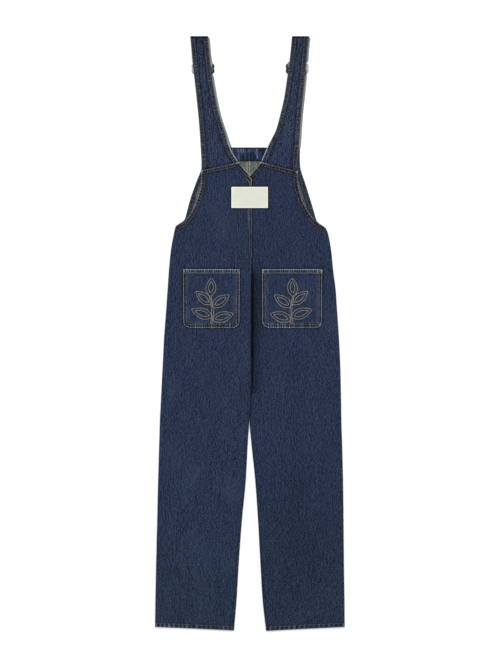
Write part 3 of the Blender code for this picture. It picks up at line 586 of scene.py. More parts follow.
def cloth_material(name, colour, lighter, worn, grain, mottling, flecks):
    """Twill with slubs along the warp, mottling, light flecks, wear and painted light by one attribute
    (painted shade below 0, wear and painted highlights above 0), and brown seams by tint.
    """
    material, tree, shader, coords = new_material(name, 0.9, specular=0.06, sheen=0.01)
    streak = narrow_grain(tree, coords, lambda at: noise(tree, at, STREAKS), *MOST, 0.66 * grain)
    slub = narrow_grain(tree, coords, lambda at: cells(tree, at, SLUBS), 0.0, 1.0, grain)
    fine = noise(tree, coords, FINE_GRAIN, 1.0)
    mottle = noise(tree, coords, MOTTLING, 3.0)
    cloud = noise(tree, coords, CLOUDS)
    warp = noise(tree, coords, WARP_LINES)
    twill = diagonal_wave(tree, coords, TWILL_LINES, 0.6)
    swing = maths(tree, "ADD", streak, slub)
    for reading, amount in ((mottle, mottling), (cloud, 0.05), (warp, 0.09), (fine, grain * 0.3)):
        swing = maths(tree, "ADD", swing, ramp(tree, reading, *MOST, -amount, amount))
    swing = maths(tree, "ADD", swing, ramp(tree, twill, 0.0, 1.0, -0.12, 0.12))
    fade, tint = attribute_of(tree, "fade"), attribute_of(tree, "tint")

    low = ramp(tree, axis_of(tree, coords, 1), *LEG_FADE_Y)
    greyer = [channel * share for channel, share in zip(colour, LEG_HUE)]
    dyed = blend_colours(tree, low, (*colour, 1.0), (*greyer, 1.0))
    dyed = blend_colours(tree, tint, dyed, (*SEAM_COLOUR, 1.0))
    reach = vector_maths(tree, "MULTIPLY", dyed, GRAIN_HUE)
    grained = vector_maths(tree, "MULTIPLY_ADD", swing, reach, dyed)
    grained = vector_maths(tree, "MAXIMUM", grained, DARKEST)
    # Painted shade: below 0 the attribute darkens the colour, down to SHADE_LIGHT at -1
    light = ramp(tree, fade, -1.0, 0.0, SHADE_LIGHT, 1.0)
    plain = scaled(tree, grained, light)
    fleck = ramp(tree, noise(tree, coords, FLECKS, 1.0), 0.58, 0.72, 0.0, flecks)
    shown = blend_colours(tree, maths(tree, "MULTIPLY", fleck, light), plain, (*lighter, 1.0))

    # Above 0 the attribute goes from the plain cloth to the lighter colour, and from there to the worn one:
    # wear, and painted highlights on puckers and fold crests
    wear_and_highlight = maths(tree, "MULTIPLY", fade, ramp(tree, fine, 0.3, 0.7, 0.75, 1.25))
    first = maths(tree, "MULTIPLY", wear_and_highlight, 2.0, clamp=True)
    second = maths(tree, "SUBTRACT", maths(tree, "MULTIPLY", wear_and_highlight, 2.0), 1.0, clamp=True)
    shown = blend_colours(tree, first, shown, (*lighter, 1.0))
    shown = blend_colours(tree, second, shown, (*worn, 1.0))
    relief = maths(tree, "ADD", maths(tree, "MULTIPLY", twill, 0.35), maths(tree, "MULTIPLY", streak, 0.5))
    relief = maths(tree, "ADD", relief, maths(tree, "MULTIPLY", fine, 0.5))
    finish_material(tree, shader, shown, relief, 0.0003)
    return material


def patch_material():
    """Smooth cream, a little cloudy, lighter and darker by its tone attribute."""
    material, tree, shader, coords = new_material("cream_patch", 0.75, specular=0.25)
    grain = noise(tree, coords, (700, 700, 700), 3.0)
    cloud = noise(tree, coords, (45, 60, 45), 3.0)
    light = ramp(tree, grain, 0.3, 0.7, 0.97, 1.03)
    light = maths(tree, "MULTIPLY", light, ramp(tree, cloud, 0.3, 0.7, 0.960, 1.040))
    light = maths(tree, "MULTIPLY", light, ramp(tree, attribute_of(tree, "fade"), -1.0, 1.0, 0.80, 1.20))
    finish_material(tree, shader, scaled(tree, PATCH_COLOUR, light), grain, 0.00015)
    return material


def thread_material(name, colour, unevenness):
    """Twisted yarn whose colour varies along the row by the unevenness."""
    material, tree, shader, coords = new_material(name, 0.6, specular=0.3, sheen=0.1)
    twist = diagonal_wave(tree, coords, 900.0, 1.0)
    spool = noise(tree, coords, (230, 230, 230), 1.0)
    spool = ramp(tree, spool, 0.35, 0.65, 1 - unevenness, 1 + unevenness)
    light = maths(tree, "MULTIPLY", ramp(tree, twist, 0.0, 1.0, 0.82, 1.12), spool)
    finish_material(tree, shader, scaled(tree, colour, light), twist, 0.0001)
    return material


# Painted highlights at the sliders' outer ends: where each starts, where it is full, and how bright it gets
LIT_ENDS = [(-0.126, -0.134, 0.65), (0.135, 0.141, 0.9)]
DARK_BRASS = (0.020, 0.014, 0.006, 1.0)
RUBBED_AND_LIT_BRASS = (0.30, 0.29, 0.25, 1.0)


def brass_material():
    """Antique brass: dark in the hollows of its patina, rubbed bright in places, with painted highlights at
    the sliders' outer ends.
    """
    material, tree, shader, coords = new_material("antique_brass", 0.38, metallic=1.0)
    cloud = noise(tree, coords, (190, 190, 190), 4.0, 0.6)
    scratch = noise(tree, coords, (2600, 160, 900), 2.0)
    place = axis_of(tree, coords, 0)
    # Painted highlights at the outer ends, added to the rubbed places
    ends = [ramp(tree, place, start, full, 0.0, shine) for start, full, shine in LIT_ENDS]
    rubbed_and_lit = ramp(tree, cloud, 0.50, 0.70, 0.0, 0.22)
    rubbed_and_lit = maths(tree, "ADD", rubbed_and_lit, maths(tree, "ADD", *ends), clamp=True)
    shown = blend_colours(tree, rubbed_and_lit, DARK_BRASS, RUBBED_AND_LIT_BRASS)
    tree.links.new(ramp(tree, cloud, 0.35, 0.65, 0.60, 0.35), shader.inputs["Roughness"])
    relief = maths(tree, "ADD", cloud, maths(tree, "MULTIPLY", scratch, 0.4))
    finish_material(tree, shader, shown, relief, 0.0002)
    return material


DENIM_COLOUR = (0.0160, 0.0250, 0.0540)
STRAP_COLOUR = (0.0180, 0.0264, 0.0540)
INSIDE_COLOUR = (0.1000, 0.1150, 0.1090)
SEAM_COLOUR = (0.0285, 0.0285, 0.0360)
LIGHTER_DENIM = (0.0620, 0.0830, 0.1350)
WORN_DENIM = (0.3600, 0.4100, 0.4400)
LIGHTER_INSIDE = (0.2200, 0.2400, 0.2300)
WORN_INSIDE = (0.4200, 0.4500, 0.4400)
PATCH_COLOUR = (0.5720, 0.5920, 0.5080)
PALE_THREAD = (0.5900, 0.5000, 0.2900)
BROWN_THREAD = (0.0900, 0.0800, 0.0620)
GREY_THREAD = (0.3300, 0.3300, 0.2900)
TAN_THREAD = (0.2100, 0.1750, 0.1250)
SEAM_THREAD = (0.1350, 0.1450, 0.1550)
GOLD_THREAD = (0.5600, 0.4300, 0.1700)

denim = cloth_material("indigo_denim", DENIM_COLOUR, LIGHTER_DENIM, WORN_DENIM,
                       grain=0.70, mottling=0.15, flecks=0.42)
strap_denim = cloth_material("strap_denim", STRAP_COLOUR, LIGHTER_DENIM, WORN_DENIM,
                             grain=1.05, mottling=0.20, flecks=0.55)
inside = cloth_material("denim_wrong_side", INSIDE_COLOUR, LIGHTER_INSIDE, WORN_INSIDE,
                        grain=0.62, mottling=0.14, flecks=0.25)
cream = patch_material()
pale = thread_material("pale_thread", PALE_THREAD, unevenness=0.25)
brown = thread_material("brown_thread", BROWN_THREAD, unevenness=0.75)
grey = thread_material("grey_thread", GREY_THREAD, unevenness=0.45)
tan = thread_material("tan_thread", TAN_THREAD, unevenness=0.60)
seam_grey = thread_material("seam_thread", SEAM_THREAD, unevenness=0.60)
gold = thread_material("golden_thread", GOLD_THREAD, unevenness=0.30)
brass = brass_material()


# Sewn edges

EDGE_WIDTH = 0.0008        # a fold's edge rounds down over this width
EDGE_DIP = 0.0004
ROW_WIDTH = 0.0009         # a row of stitches draws the cloth in over this width
ROW_DENT = 0.00022
BLOCK_WIDTH = 0.0034


def lines_along(away, *lines):
    """Soft lighter and darker lines beside an edge, each with its place, width and shade."""
    return sum(shade * bell(away - place, width) for place, width, shade in lines)


def turned_edge(x, y, line, band, pitch, seed, worn=1.0, lift=0.0005, contrast=1.7):
    """Height, tone and painted light of an edge turned in and sewn down with two rows of stitches.

    The fold is worn pale, and the cloth between the rows puckers into light and dark blocks.
    """
    along, away = line_places(x, y, line)
    within = 1 - smoothstep(band - 0.0004, band + 0.0012, away)
    humps = puckers(along, pitch, seed) * within
    between = bell(away - (OUTER_ROW + INNER_ROW) / 2, BLOCK_WIDTH)
    rows = bell(away - OUTER_ROW, ROW_WIDTH) + bell(away - INNER_ROW, ROW_WIDTH)
    height = within * lift + humps * (0.00016 + 0.00020 * between) - ROW_DENT * rows
    height -= EDGE_DIP * bell(away, EDGE_WIDTH)
    fade = worn * smoothstep(0.0022, 0.0010, away) * (0.85 + 0.20 * humps)
    fade = fade + blocks(contrast * humps * between) - 0.28 * between
    fade = fade - 0.55 * bell(away - band - 0.0012, 0.0011)
    return height, fade, within


def blocks(humps):
    """The shade of puckers: their hollows darken more than their crowns lighten."""
    return np.clip(humps, -0.9, 0.0) + 0.5 * np.clip(humps, 0.0, 1.0)


def folds_of(x, y):
    """The soft folds and the small unevenness of cloth laid down by hand, with painted highlights on the
    folds' crests and painted shade in their troughs.
    """
    height = 0.00035 * lattice(x, y, 0.055, 0.085, 11) + 0.00022 * lattice(x, y, 0.016, 0.040, 12)
    height = height + 0.00010 * lattice(x, y, 0.006, 0.012, 13)
    fade = 0.035 * lattice(x, y, 0.045, 0.070, 14) + 0.025 * lattice(x, y, 0.012, 0.030, 15)
    for index, fold in enumerate(FOLDS):
        line = [(fold.x0, fold.y0), (fold.x1, fold.y1)]
        along, away = line_places(x, y, line)
        length = math.hypot(fold.x1 - fold.x0, fold.y1 - fold.y0)
        share = along / length
        body = bell(away, fold.width * (0.8 + 0.3 * lattice(along, away, 0.03, 1.0, 30 + index)))
        body = body * (0.35 + 0.65 * np.sin(np.pi * np.clip(share, 0.02, 0.98)))
        height = height + fold.height * body
        # Painted light: a fold's crest is painted lighter, its trough darker
        fade = fade + 0.35 * fold.fade * body
    return height, fade


# Panels

LEG_PLACE = 0.02           # where the rows may lie further apart, below the pockets
BACK_COLUMNS = 88
FRONT_COLUMNS = 22
EDGE_ANGLES = np.linspace(0, math.pi / 2, 6)[:-1]
EDGE_STEPS = np.array([0.0, 0.0012, 0.0024, 0.0038, 0.0052, 0.0066, 0.0080, 0.0094, 0.0108])


def across(start_x, end_x, start_roll, end_roll, shares):
    """Places across each row: x, the angle round a rolled edge, and which edge it belongs to."""
    side = np.sign(end_x - start_x)[:, None]
    start = np.concatenate([start_roll * (1 - np.cos(EDGE_ANGLES)), start_roll + EDGE_STEPS])
    end = np.concatenate([end_roll * (1 - np.cos(EDGE_ANGLES)), end_roll + EDGE_STEPS])
    angles = np.concatenate([EDGE_ANGLES, np.full(len(EDGE_STEPS), math.pi / 2)])
    first = start_x[:, None] + side * start
    last = end_x[:, None] - side * end[::-1]
    middle = mix(first[:, -1:], last[:, :1], shares)
    x = np.concatenate([first, middle, last], axis=1)
    angle = np.concatenate([angles, np.full(len(shares), math.pi / 2), angles[::-1]])
    at_start = np.arange(x.shape[1]) < len(angles)
    return x, angle, at_start


def even_shares(count):
    return np.linspace(0, 1, count + 2)[1:-1]


def shares_by_pocket(side):
    """Shares across a back panel, close together just outside the pocket's two sides."""
    row = HALF_ROWS[side][4]
    sign = SIGN[side]
    outer, inner = sorted(POCKET_SIDES[side], key=abs, reverse=True)
    start = row.side - sign * (OUTER_ROLL + EDGE_STEPS[-1])
    end = row.back_centre + sign * (INNER_ROLL[side] + EDGE_STEPS[-1])
    steps = np.array([-0.0006, 0.0006, 0.0016, 0.0028, 0.0044])
    places = np.concatenate([outer + sign * steps, inner - sign * steps])
    return np.sort(np.concatenate([even_shares(BACK_COLUMNS), (places - start) / (end - start)]))


def dense_course(course, step, leg_step, end_step, end_depth):
    """Read every column of a course of rows at small steps, smaller near its two ends."""
    columns = list(zip(*course))
    places = -(np.array(columns[1]) + np.array(columns[3])) / 2
    first, last = places[0] + end_depth, places[-1] - end_depth
    stations = np.concatenate([np.arange(places[0], first - end_step / 2, end_step),
                               np.linspace(first, LEG_PLACE, int((LEG_PLACE - first) / step) + 1)[:-1],
                               np.linspace(LEG_PLACE, last, int((last - LEG_PLACE) / leg_step) + 1),
                               np.arange(last + end_step, places[-1] - end_step / 2, end_step),
                               places[-1:]])
    return [smooth_through(places, column, stations) for column in columns], places[-1] - stations


GROOVE_SHADE = {"left": 0.9, "right": 1.1}
LEAST_CLOTH = 0.0008       # at the dents of the stitches


def hem_share(to_foot):
    """1 in the trouser hem and 0 above it."""
    return smoothstep(HEM_BAND + 0.0008, HEM_BAND - 0.0004, to_foot)[:, None]


def back_panel(side, under):
    top_z = HALF_ROWS[side][0].centre_z
    course = [(r.arm_x, r.arm_y, r.centre_x, r.centre_y, top_z, top_z, top_z)
              for r in BACK_TOP_ROWS[side]]
    course += [(r.side, r.side_y, r.back_centre, r.centre_y, r.side_z, r.middle_z, r.centre_z)
               for r in HALF_ROWS[side]]
    columns, to_foot = dense_course(course, step=0.0022, leg_step=0.0050, end_step=0.0010, end_depth=0.0150)
    side_x, side_y, centre_x, centre_y, side_z, middle_z, centre_z = columns
    centre_x = centre_x + SIGN[side] * HALF_GAP
    x, angle, at_side = across(side_x, centre_x, OUTER_ROLL, INNER_ROLL[side], shares_by_pocket(side))
    share = (x - side_x[:, None]) / (centre_x - side_x)[:, None]
    y = mix(side_y[:, None], centre_y[:, None], share)
    from_side = np.abs(x - side_x[:, None])
    from_centre = np.abs(x - centre_x[:, None])
    cloth = mix(CLOTH, HEM_CLOTH, hem_share(to_foot))

    top = middle_z[:, None] + (side_z - middle_z)[:, None] * bell(from_side, EDGE_RISE_REACH)
    top = top + (centre_z - middle_z)[:, None] * bell(from_centre, EDGE_RISE_REACH)
    fold_height, fade = folds_of(x, y)
    quiet = smoothstep(0.0, 0.012, np.minimum(from_side, from_centre))
    quiet = quiet * smoothstep(0.0, 0.02, to_foot)[:, None]
    top = np.maximum(top + fold_height * (0.3 + 0.7 * quiet), CLOTH + SEAM_GAP + cloth)

    # Where the upper back lies over the front's hems and the straps' feet
    lying = side_y > SIDE_SEAM_TOP_Y - 0.02
    beneath = under.heights(x[lying], y[lying], CLOTH)
    top[lying] = np.maximum(top[lying], draped(beneath, spread=3, softness=6) + SEAM_GAP + cloth[lying])

    empty = [np.zeros(x.shape) for _ in range(3)]
    panel = Panel(side, x, y, side_x, side_y, centre_x, centre_y, to_foot[:, None], from_side, from_centre,
                  *empty)
    seed = BACK_SEED[side]
    upper_edges(panel, seed)
    felled_seam(panel)
    groove_and_pieces(panel)
    long_seams(panel, seed)
    trouser_hem(panel, seed)
    side_roll = smoothstep(SIDE_SEAM_TOP_Y, SIDE_ROLL_FULL_Y, side_y)[:, None]
    centre_roll = smoothstep(SEAT_GROOVE_TOP_Y, SEAT_GROOVE_FULL_Y, centre_y)[:, None]
    side_drop = side_roll * (top[:, :1] - BACK_EDGE_Z)
    centre_drop = centre_roll * (top[:, -1:] - BACK_EDGE_Z)
    round_edge = 1 - np.sin(angle)
    z = top + panel.height - np.where(at_side, side_drop, centre_drop) * round_edge
    shade = round_edge * np.where(at_side, 0.25 * side_roll, centre_roll * GROOVE_SHADE[side])
    face = grid_of(x, y, z)
    thickness = np.clip(cloth + panel.height, LEAST_CLOTH, None)
    fade = fade + panel.fade - shade
    return cloth_wall("back_of_overalls_" + side, face, thickness, fade, [denim],
                      tint=panel.tint)


FELLED = (-0.0050, 0.0056)     # the two edges of the felled centre seam, under the yoke
FELLED_FOOT = (0.0006, 0.0044) # and where the groove takes it in
FELLED_ROWS = {
    "left": [(-0.0012, 0.388), (-0.0014, 0.235), (0.0014, 0.150)],
    "right": [(0.0038, 0.388), (0.0035, 0.235), (0.0041, 0.190)],
}

# Points of a back panel, and the height, tone with painted light, and tint that its seams add up on them
Panel = namedtuple("Panel", "side x y side_x side_y centre_x centre_y to_foot from_side from_centre "
                            "height fade tint")


def upper_edges(p, seed):
    """The yoke seam, the V and the armhole, turned in and sewn down."""
    sides = np.stack([p.side_x, p.side_y], axis=1)
    centres = np.stack([p.centre_x, p.centre_y], axis=1)
    v_end = int(np.argmin(np.abs(p.centre_y - BACK_TOP_ROWS[p.side][V_ROWS - 1].centre_y)))
    seam_top = int(np.argmin(np.abs(p.side_y - SIDE_SEAM_TOP_Y)))
    upper = p.side_y > SIDE_SEAM_TOP_Y - 0.05
    x, y = p.x[upper], p.y[upper]
    yoke_wear = 0.9 * (0.55 + 0.45 * bell(np.abs(x) - 0.028, 0.020))
    arm_wear = 0.78 * smoothstep(0.268, 0.292, y)
    arm_end = smoothstep(SIDE_SEAM_TOP_Y - 0.0105, SIDE_SEAM_TOP_Y - 0.0070, y)
    edges = [
        ([sides[0], centres[0]], 0.0100, 0.0054, yoke_wear, 2.6, 1.0),
        (centres[:v_end + 1:4], 0.0085, 0.0070, 1.0, 1.7, 1.0),
        (sides[:seam_top + 8:4], EDGE_BAND, 0.0074, arm_wear, 1.7, arm_end),
    ]
    for index, (line, band, pitch, worn, contrast, share) in enumerate(edges):
        sewn = turned_edge(x, y, line, band, pitch, seed + index, worn, contrast=contrast)
        height, fade, tint = (values * share for values in sewn)
        stronger = np.abs(height) > np.abs(p.height[upper])
        p.height[upper] = np.where(stronger, height, p.height[upper])
        p.fade[upper] += fade
        p.tint[upper] = np.maximum(p.tint[upper], tint)


def felled_seam(p):
    """The felled seam down the middle of the back, which the groove takes in below the seat."""
    x, y, height, fade = p.x, p.y, p.height, p.fade
    seat = smoothstep(0.150, 0.175, y) * smoothstep(0.398, 0.388, y)
    narrow = smoothstep(0.300, 0.165, y)
    low_x, high_x = mix(FELLED[0], FELLED_FOOT[0], narrow), mix(FELLED[1], FELLED_FOOT[1], narrow)
    felled = smoothstep(low_x - 0.0012, low_x + 0.0006, x) * smoothstep(high_x + 0.0004, high_x - 0.0006, x)
    humps = puckers(y + 1.0, 0.0062, 300) * bell(x - (low_x + high_x) / 2, 0.0030)
    height += seat * (0.0005 * felled + 0.00022 * humps)
    fade += seat * (0.55 + 0.45 * smoothstep(0.20, 0.30, y)) * (blocks(2.2 * humps) - 0.20 * felled)
    np.maximum(p.tint, 0.35 * seat * felled, out=p.tint)
    # Painted shadow in thin lines just beyond the felled band's two edges, darker on its right
    fade -= seat * (0.80 * bell(x - high_x - 0.0012, 0.0015) + 0.30 * bell(x - low_x + 0.0014, 0.0012))
    below_patch = smoothstep(0.235, 0.285, y) * smoothstep(0.322, 0.312, y)
    fade += 0.80 * below_patch * (bell(x - low_x - 0.0004, 0.0014) + bell(x - high_x + 0.0008, 0.0009))


def groove_and_pieces(p):
    """Shade along the groove, where the right half dips under the left, and beside pocket and patch."""
    x, y, fade = p.x, p.y, p.fade
    groove = smoothstep(0.185, 0.130, y) * smoothstep(-0.175, -0.125, y)
    if p.side == "right":
        reach = mix(0.0040, 0.0066, smoothstep(-0.130, -0.040, y))
        deep = smoothstep(reach + 0.0028, reach - 0.0010, p.from_centre)
        wide = mix(0.50, 0.66, smoothstep(-0.100, 0.020, y))
        wide = wide * bell(np.maximum(p.from_centre - 0.0090, 0.0), 0.0150)
        fade -= groove * np.maximum(deep, wide)
    else:
        fade -= 0.20 * groove * bell(p.from_centre, 0.0040)
    # Painted shadow in a thin line just outside the pocket's edge, weaker low down
    pocket = pocket_outline(p.side)
    box = (np.abs(x - pocket[:, 0].mean()) < 0.09) & (y > 0.005) & (y < 0.18)
    beside = line_places(x[box], y[box], np.concatenate([pocket, pocket[:1]]))[1]
    fade[box] -= 0.80 * bell(beside - 0.0010, 0.0020) * (0.6 + 0.4 * smoothstep(0.03, 0.15, y[box]))

    # The right half is a little darker at the seat and on its leg, and painted shade of a broad, low fold
    # darkens the middle of its leg
    if p.side == "right":
        fade -= 0.05 * smoothstep(0.10, 0.16, y) + 0.03 * smoothstep(0.0, -0.05, y)
        leg = smoothstep(-0.22, -0.36, y) * smoothstep(-0.72, -0.62, y)
        fade -= 0.13 * bell(x - 0.125, 0.060) * leg
    # Painted shadow in a thin line just outside the patch's edge
    fade -= 0.75 * bell(-patch_depth(x, y) - 0.0008, 0.0022)


def long_seams(p, seed):
    """The side seam below the armhole and the inner leg seam."""
    below = smoothstep(SIDE_SEAM_TOP_Y, SIDE_ROLL_FULL_Y, p.y)
    leg = smoothstep(-0.150, -0.190, p.y)
    height, fade = p.height, p.fade
    ripple = puckers(p.y + 1.0, 0.0105, seed + 7)
    height += below * 0.00016 * ripple * bell(p.from_side - 0.004, 0.005)
    fade += below * (0.16 * ripple * bell(p.from_side - 0.0035, 0.004) - 0.10 * bell(p.from_side, 0.002))
    ripple = puckers(p.y + 1.0, 0.0110, seed + 8)
    height += leg * 0.00014 * ripple * bell(p.from_centre - 0.004, 0.005)
    lines = 0.12 * ripple * bell(p.from_centre - 0.004, 0.004) - 0.22 * bell(p.from_centre - 0.0055, 0.0012)
    fade += leg * lines


def trouser_hem(p, seed):
    """Roping of the trouser hem: slanted humps between the fold and the row of stitches."""
    to_foot, height, fade = p.to_foot, p.height, p.fade
    slant = p.x + 0.15 * to_foot * -SIGN[p.side]
    ropes = puckers(slant + 0.3, 0.0118, seed + 9)
    band = smoothstep(HEM_BAND + 0.0006, HEM_BAND - 0.0014, to_foot)
    height += band * ropes * 0.0003 - 0.0003 * bell(to_foot - HEM_BAND + 0.0022, 0.0010)
    ropes = ropes * (1 + 0.5 * lattice(p.x, p.y, 0.020, 0.3, seed + 10))
    lines = 2.2 * ropes - 0.35
    inner = smoothstep(0.0010, 0.0026, to_foot)
    fade += band * inner * (np.clip(lines, -0.55, 0.0) + 0.52 * np.clip(lines, 0.0, 1.0))
    fade += lines_along(to_foot, (0.0010, 0.0015, 0.42), (HEM_BAND + 0.0010, 0.0010, -0.40),
                        (HEM_BAND - 0.0022, 0.0008, -0.15))
    np.maximum(p.tint, 0.45 * band, out=p.tint)


def front_panel(side):
    course = [(r.arm_x, r.arm_y, r.centre_x, r.centre_y) for r in FRONT_TOP_ROWS[side]]
    course += [(r.side, r.side_y, r.front_centre, r.centre_y) for r in HALF_ROWS[side]]
    columns, to_foot = dense_course(course, step=0.0060, leg_step=0.0060, end_step=0.0015, end_depth=0.0150)
    side_x, side_y, centre_x, centre_y = columns
    centre_x = centre_x + SIGN[side] * HALF_GAP
    x, angle, at_side = across(side_x, centre_x, OUTER_ROLL, INNER_ROLL[side], even_shares(FRONT_COLUMNS))
    y = mix(side_y[:, None], centre_y[:, None], (x - side_x[:, None]) / (centre_x - side_x)[:, None])
    side_drop = FRONT_EDGE_Z * smoothstep(SIDE_SEAM_TOP_Y, SIDE_ROLL_FULL_Y, side_y)[:, None]
    centre_drop = FRONT_EDGE_Z * smoothstep(CROTCH_TOP_Y, CROTCH_FULL_Y, centre_y)[:, None]
    z = np.where(at_side, side_drop, centre_drop) * (1 - np.sin(angle))
    cloth = mix(CLOTH, HEM_CLOTH, hem_share(to_foot)) * (1 + 0.06 * lattice(x, y, 0.012, 0.02, 51))
    fade = 0.12 * lattice(x, y, 0.02, 0.03, 52)
    # The bib is in shade just under its facing and beside its armholes
    fade = fade - 0.35 * bell(y - BIB_TOP_Y + FACING_DEPTH + 0.001, 0.0035)
    fade = fade - 0.30 * smoothstep(0.090, 0.115, np.abs(x))
    # What shows of it between the back's halves lies in deep shade
    fade = fade - 0.90 * bell(x - centre_x[:, None], 0.010) * smoothstep(0.205, 0.180, y)
    face = grid_of(x, y, z)
    return cloth_wall("front_of_overalls_" + side, face, cloth, fade, [denim, inside], outside=-1)


# Straps

PATH_STEP = 0.004
BAND_STEPS = np.array([0.0, 0.0005, 0.0012, 0.0021, 0.0032, 0.0046, 0.0062, 0.0076, 0.0087, 0.0098,
                       0.0110, 0.0122, 0.0134])


def strip_columns(width, count=10):
    """Shares across a strip, close together in the sewn bands along its edges."""
    middle = np.linspace(BAND_STEPS[-1], width - BAND_STEPS[-1], count)[1:-1]
    return np.concatenate([BAND_STEPS, middle, width - BAND_STEPS[::-1]]) / width


def read_strap(side, y):
    rows = STRAP_ROWS[side]
    places = [row.y for row in rows]
    return (float(smooth_through(places, [row.arm_x for row in rows], y)),
            float(smooth_through(places, [row.neck_x for row in rows], y)))


def rounded_path(corners, radius, steps=5):
    """Round the corners of a path of (y, z) points."""
    path = [corners[0]]
    for before, corner, after in zip(corners, corners[1:], corners[2:]):
        into = Vector(before) - Vector(corner)
        out = Vector(after) - Vector(corner)
        cut = min(radius, into.length * 0.45, out.length * 0.45)
        start = Vector(corner) + into.normalized() * cut
        end = Vector(corner) + out.normalized() * cut
        for k in range(steps + 1):
            t = k / steps
            point = start * (1 - t) ** 2 + Vector(corner) * 2 * t * (1 - t) + end * t * t
            path.append((point.x, point.y))
    path.append(corners[-1])
    return path


def filled_path(path, step):
    """Add points so that no two are further than a step apart."""
    filled = []
    for here, there in zip(path, path[1:]):
        count = max(1, math.ceil(math.dist(here, there) / step))
        for k in range(count):
            filled.append((mix(here[0], there[0], k / count), mix(here[1], there[1], k / count)))
    return filled + [path[-1]]


def ribbon(name, course, materials, seed, sewn, shown_to=None, shade=0.0, seam=None):
    """Sweep a strip along a course of (y at edge a, y at edge b, height of its middle, x at a, x at b)."""
    course = np.array(course)
    middle_y = (course[:, 0] + course[:, 1]) / 2
    run, rise = np.gradient(middle_y), np.gradient(course[:, 2])
    length = np.hypot(run, rise)
    steps = np.hypot(np.diff(middle_y), np.diff(course[:, 2]))
    along = np.concatenate([[0.0], np.cumsum(steps)])[:, None]
    width = np.abs(course[:, 4] - course[:, 3])
    shares = np.stack([strip_columns(w) for w in width])
    from_a, from_b = shares * width[:, None], (1 - shares) * width[:, None]
    x = mix(course[:, 3:4], course[:, 4:5], shares)
    y = mix(course[:, 0:1], course[:, 1:2], shares)
    relief, tint = np.zeros(x.shape), np.zeros(x.shape)
    fade = 0.08 * lattice(x, along + 0 * x, 0.010, 0.03, seed + 5)
    tones_and_painted_light = (0.45 + fade, fade)
    if sewn:
        tones_and_painted_light = (fade, 0.45 + fade)
        for index, away in enumerate((from_a, from_b)):
            humps = puckers(along, 0.0072, seed + index)
            band = smoothstep(STRAP_BAND + 0.0012, STRAP_BAND - 0.0006, away)
            tint = np.maximum(tint, 0.62 * smoothstep(STRAP_BAND + 0.0010, STRAP_BAND - 0.0008, away))
            between = bell(away - STRAP_BAND / 2, 0.0040)
            rows = bell(away - OUTER_ROW, ROW_WIDTH) + bell(away - STRAP_INNER_ROW, ROW_WIDTH)
            relief += band * 0.0005 + 0.0002 * humps * between - 0.0002 * rows - 0.0004 * bell(away, 0.0007)
            fade += blocks(1.1 * humps * between) - 0.02 * band
            fade += lines_along(away, (0.0004, 0.0009, 0.30), (STRAP_BAND + 0.0014, 0.0014, -0.60))
            if index == 1:
                fade += 0.80 * smoothstep(0.0026, 0.0012, away) * smoothstep(0.500, 0.470, y)
        relief = relief * (1 - smoothstep(shown_to - 6, shown_to, np.arange(len(course))[:, None]))
        fade += shade[:, None]
        # Painted shadow of the back's turned top edge, along the yoke seam where the back lies over the
        # strap
        fade -= 0.85 * bell(line_places(x, y, seam)[1], 0.0028)
    half = CLOTH / 2
    offset = half + relief
    shift_y, shift_z = (-rise / length)[:, None] * offset, (run / length)[:, None] * offset
    face = grid_of(x, y + shift_y, course[:, 2:3] + shift_z)
    back = grid_of(x, y - shift_y * half / offset, course[:, 2:3] - shift_z * half / offset)
    turned = np.cross(face[0, 1] - face[0, 0], face[1, 0] - face[0, 0])[2] <= 0
    return wall_between(name, face, back, turned, tones_and_painted_light, (tint, 0.0), materials)


def in_slider(side, y, edges):
    """The two edges of a lower strip, as wide as the slots where it passes through the slider."""
    near = 1 - float(smoothstep(0.0135, 0.0200, abs(y - SLIDER_Y)))
    arm_x, neck_x = read_strap(side, SLIDER_Y)
    centre = (arm_x + neck_x) / 2 + SLIDER_SHIFT[side]
    half = math.copysign(SLOT_FILL / 2, arm_x - neck_x)
    return mix(edges[0], centre + half, near), mix(edges[1], centre - half, near)


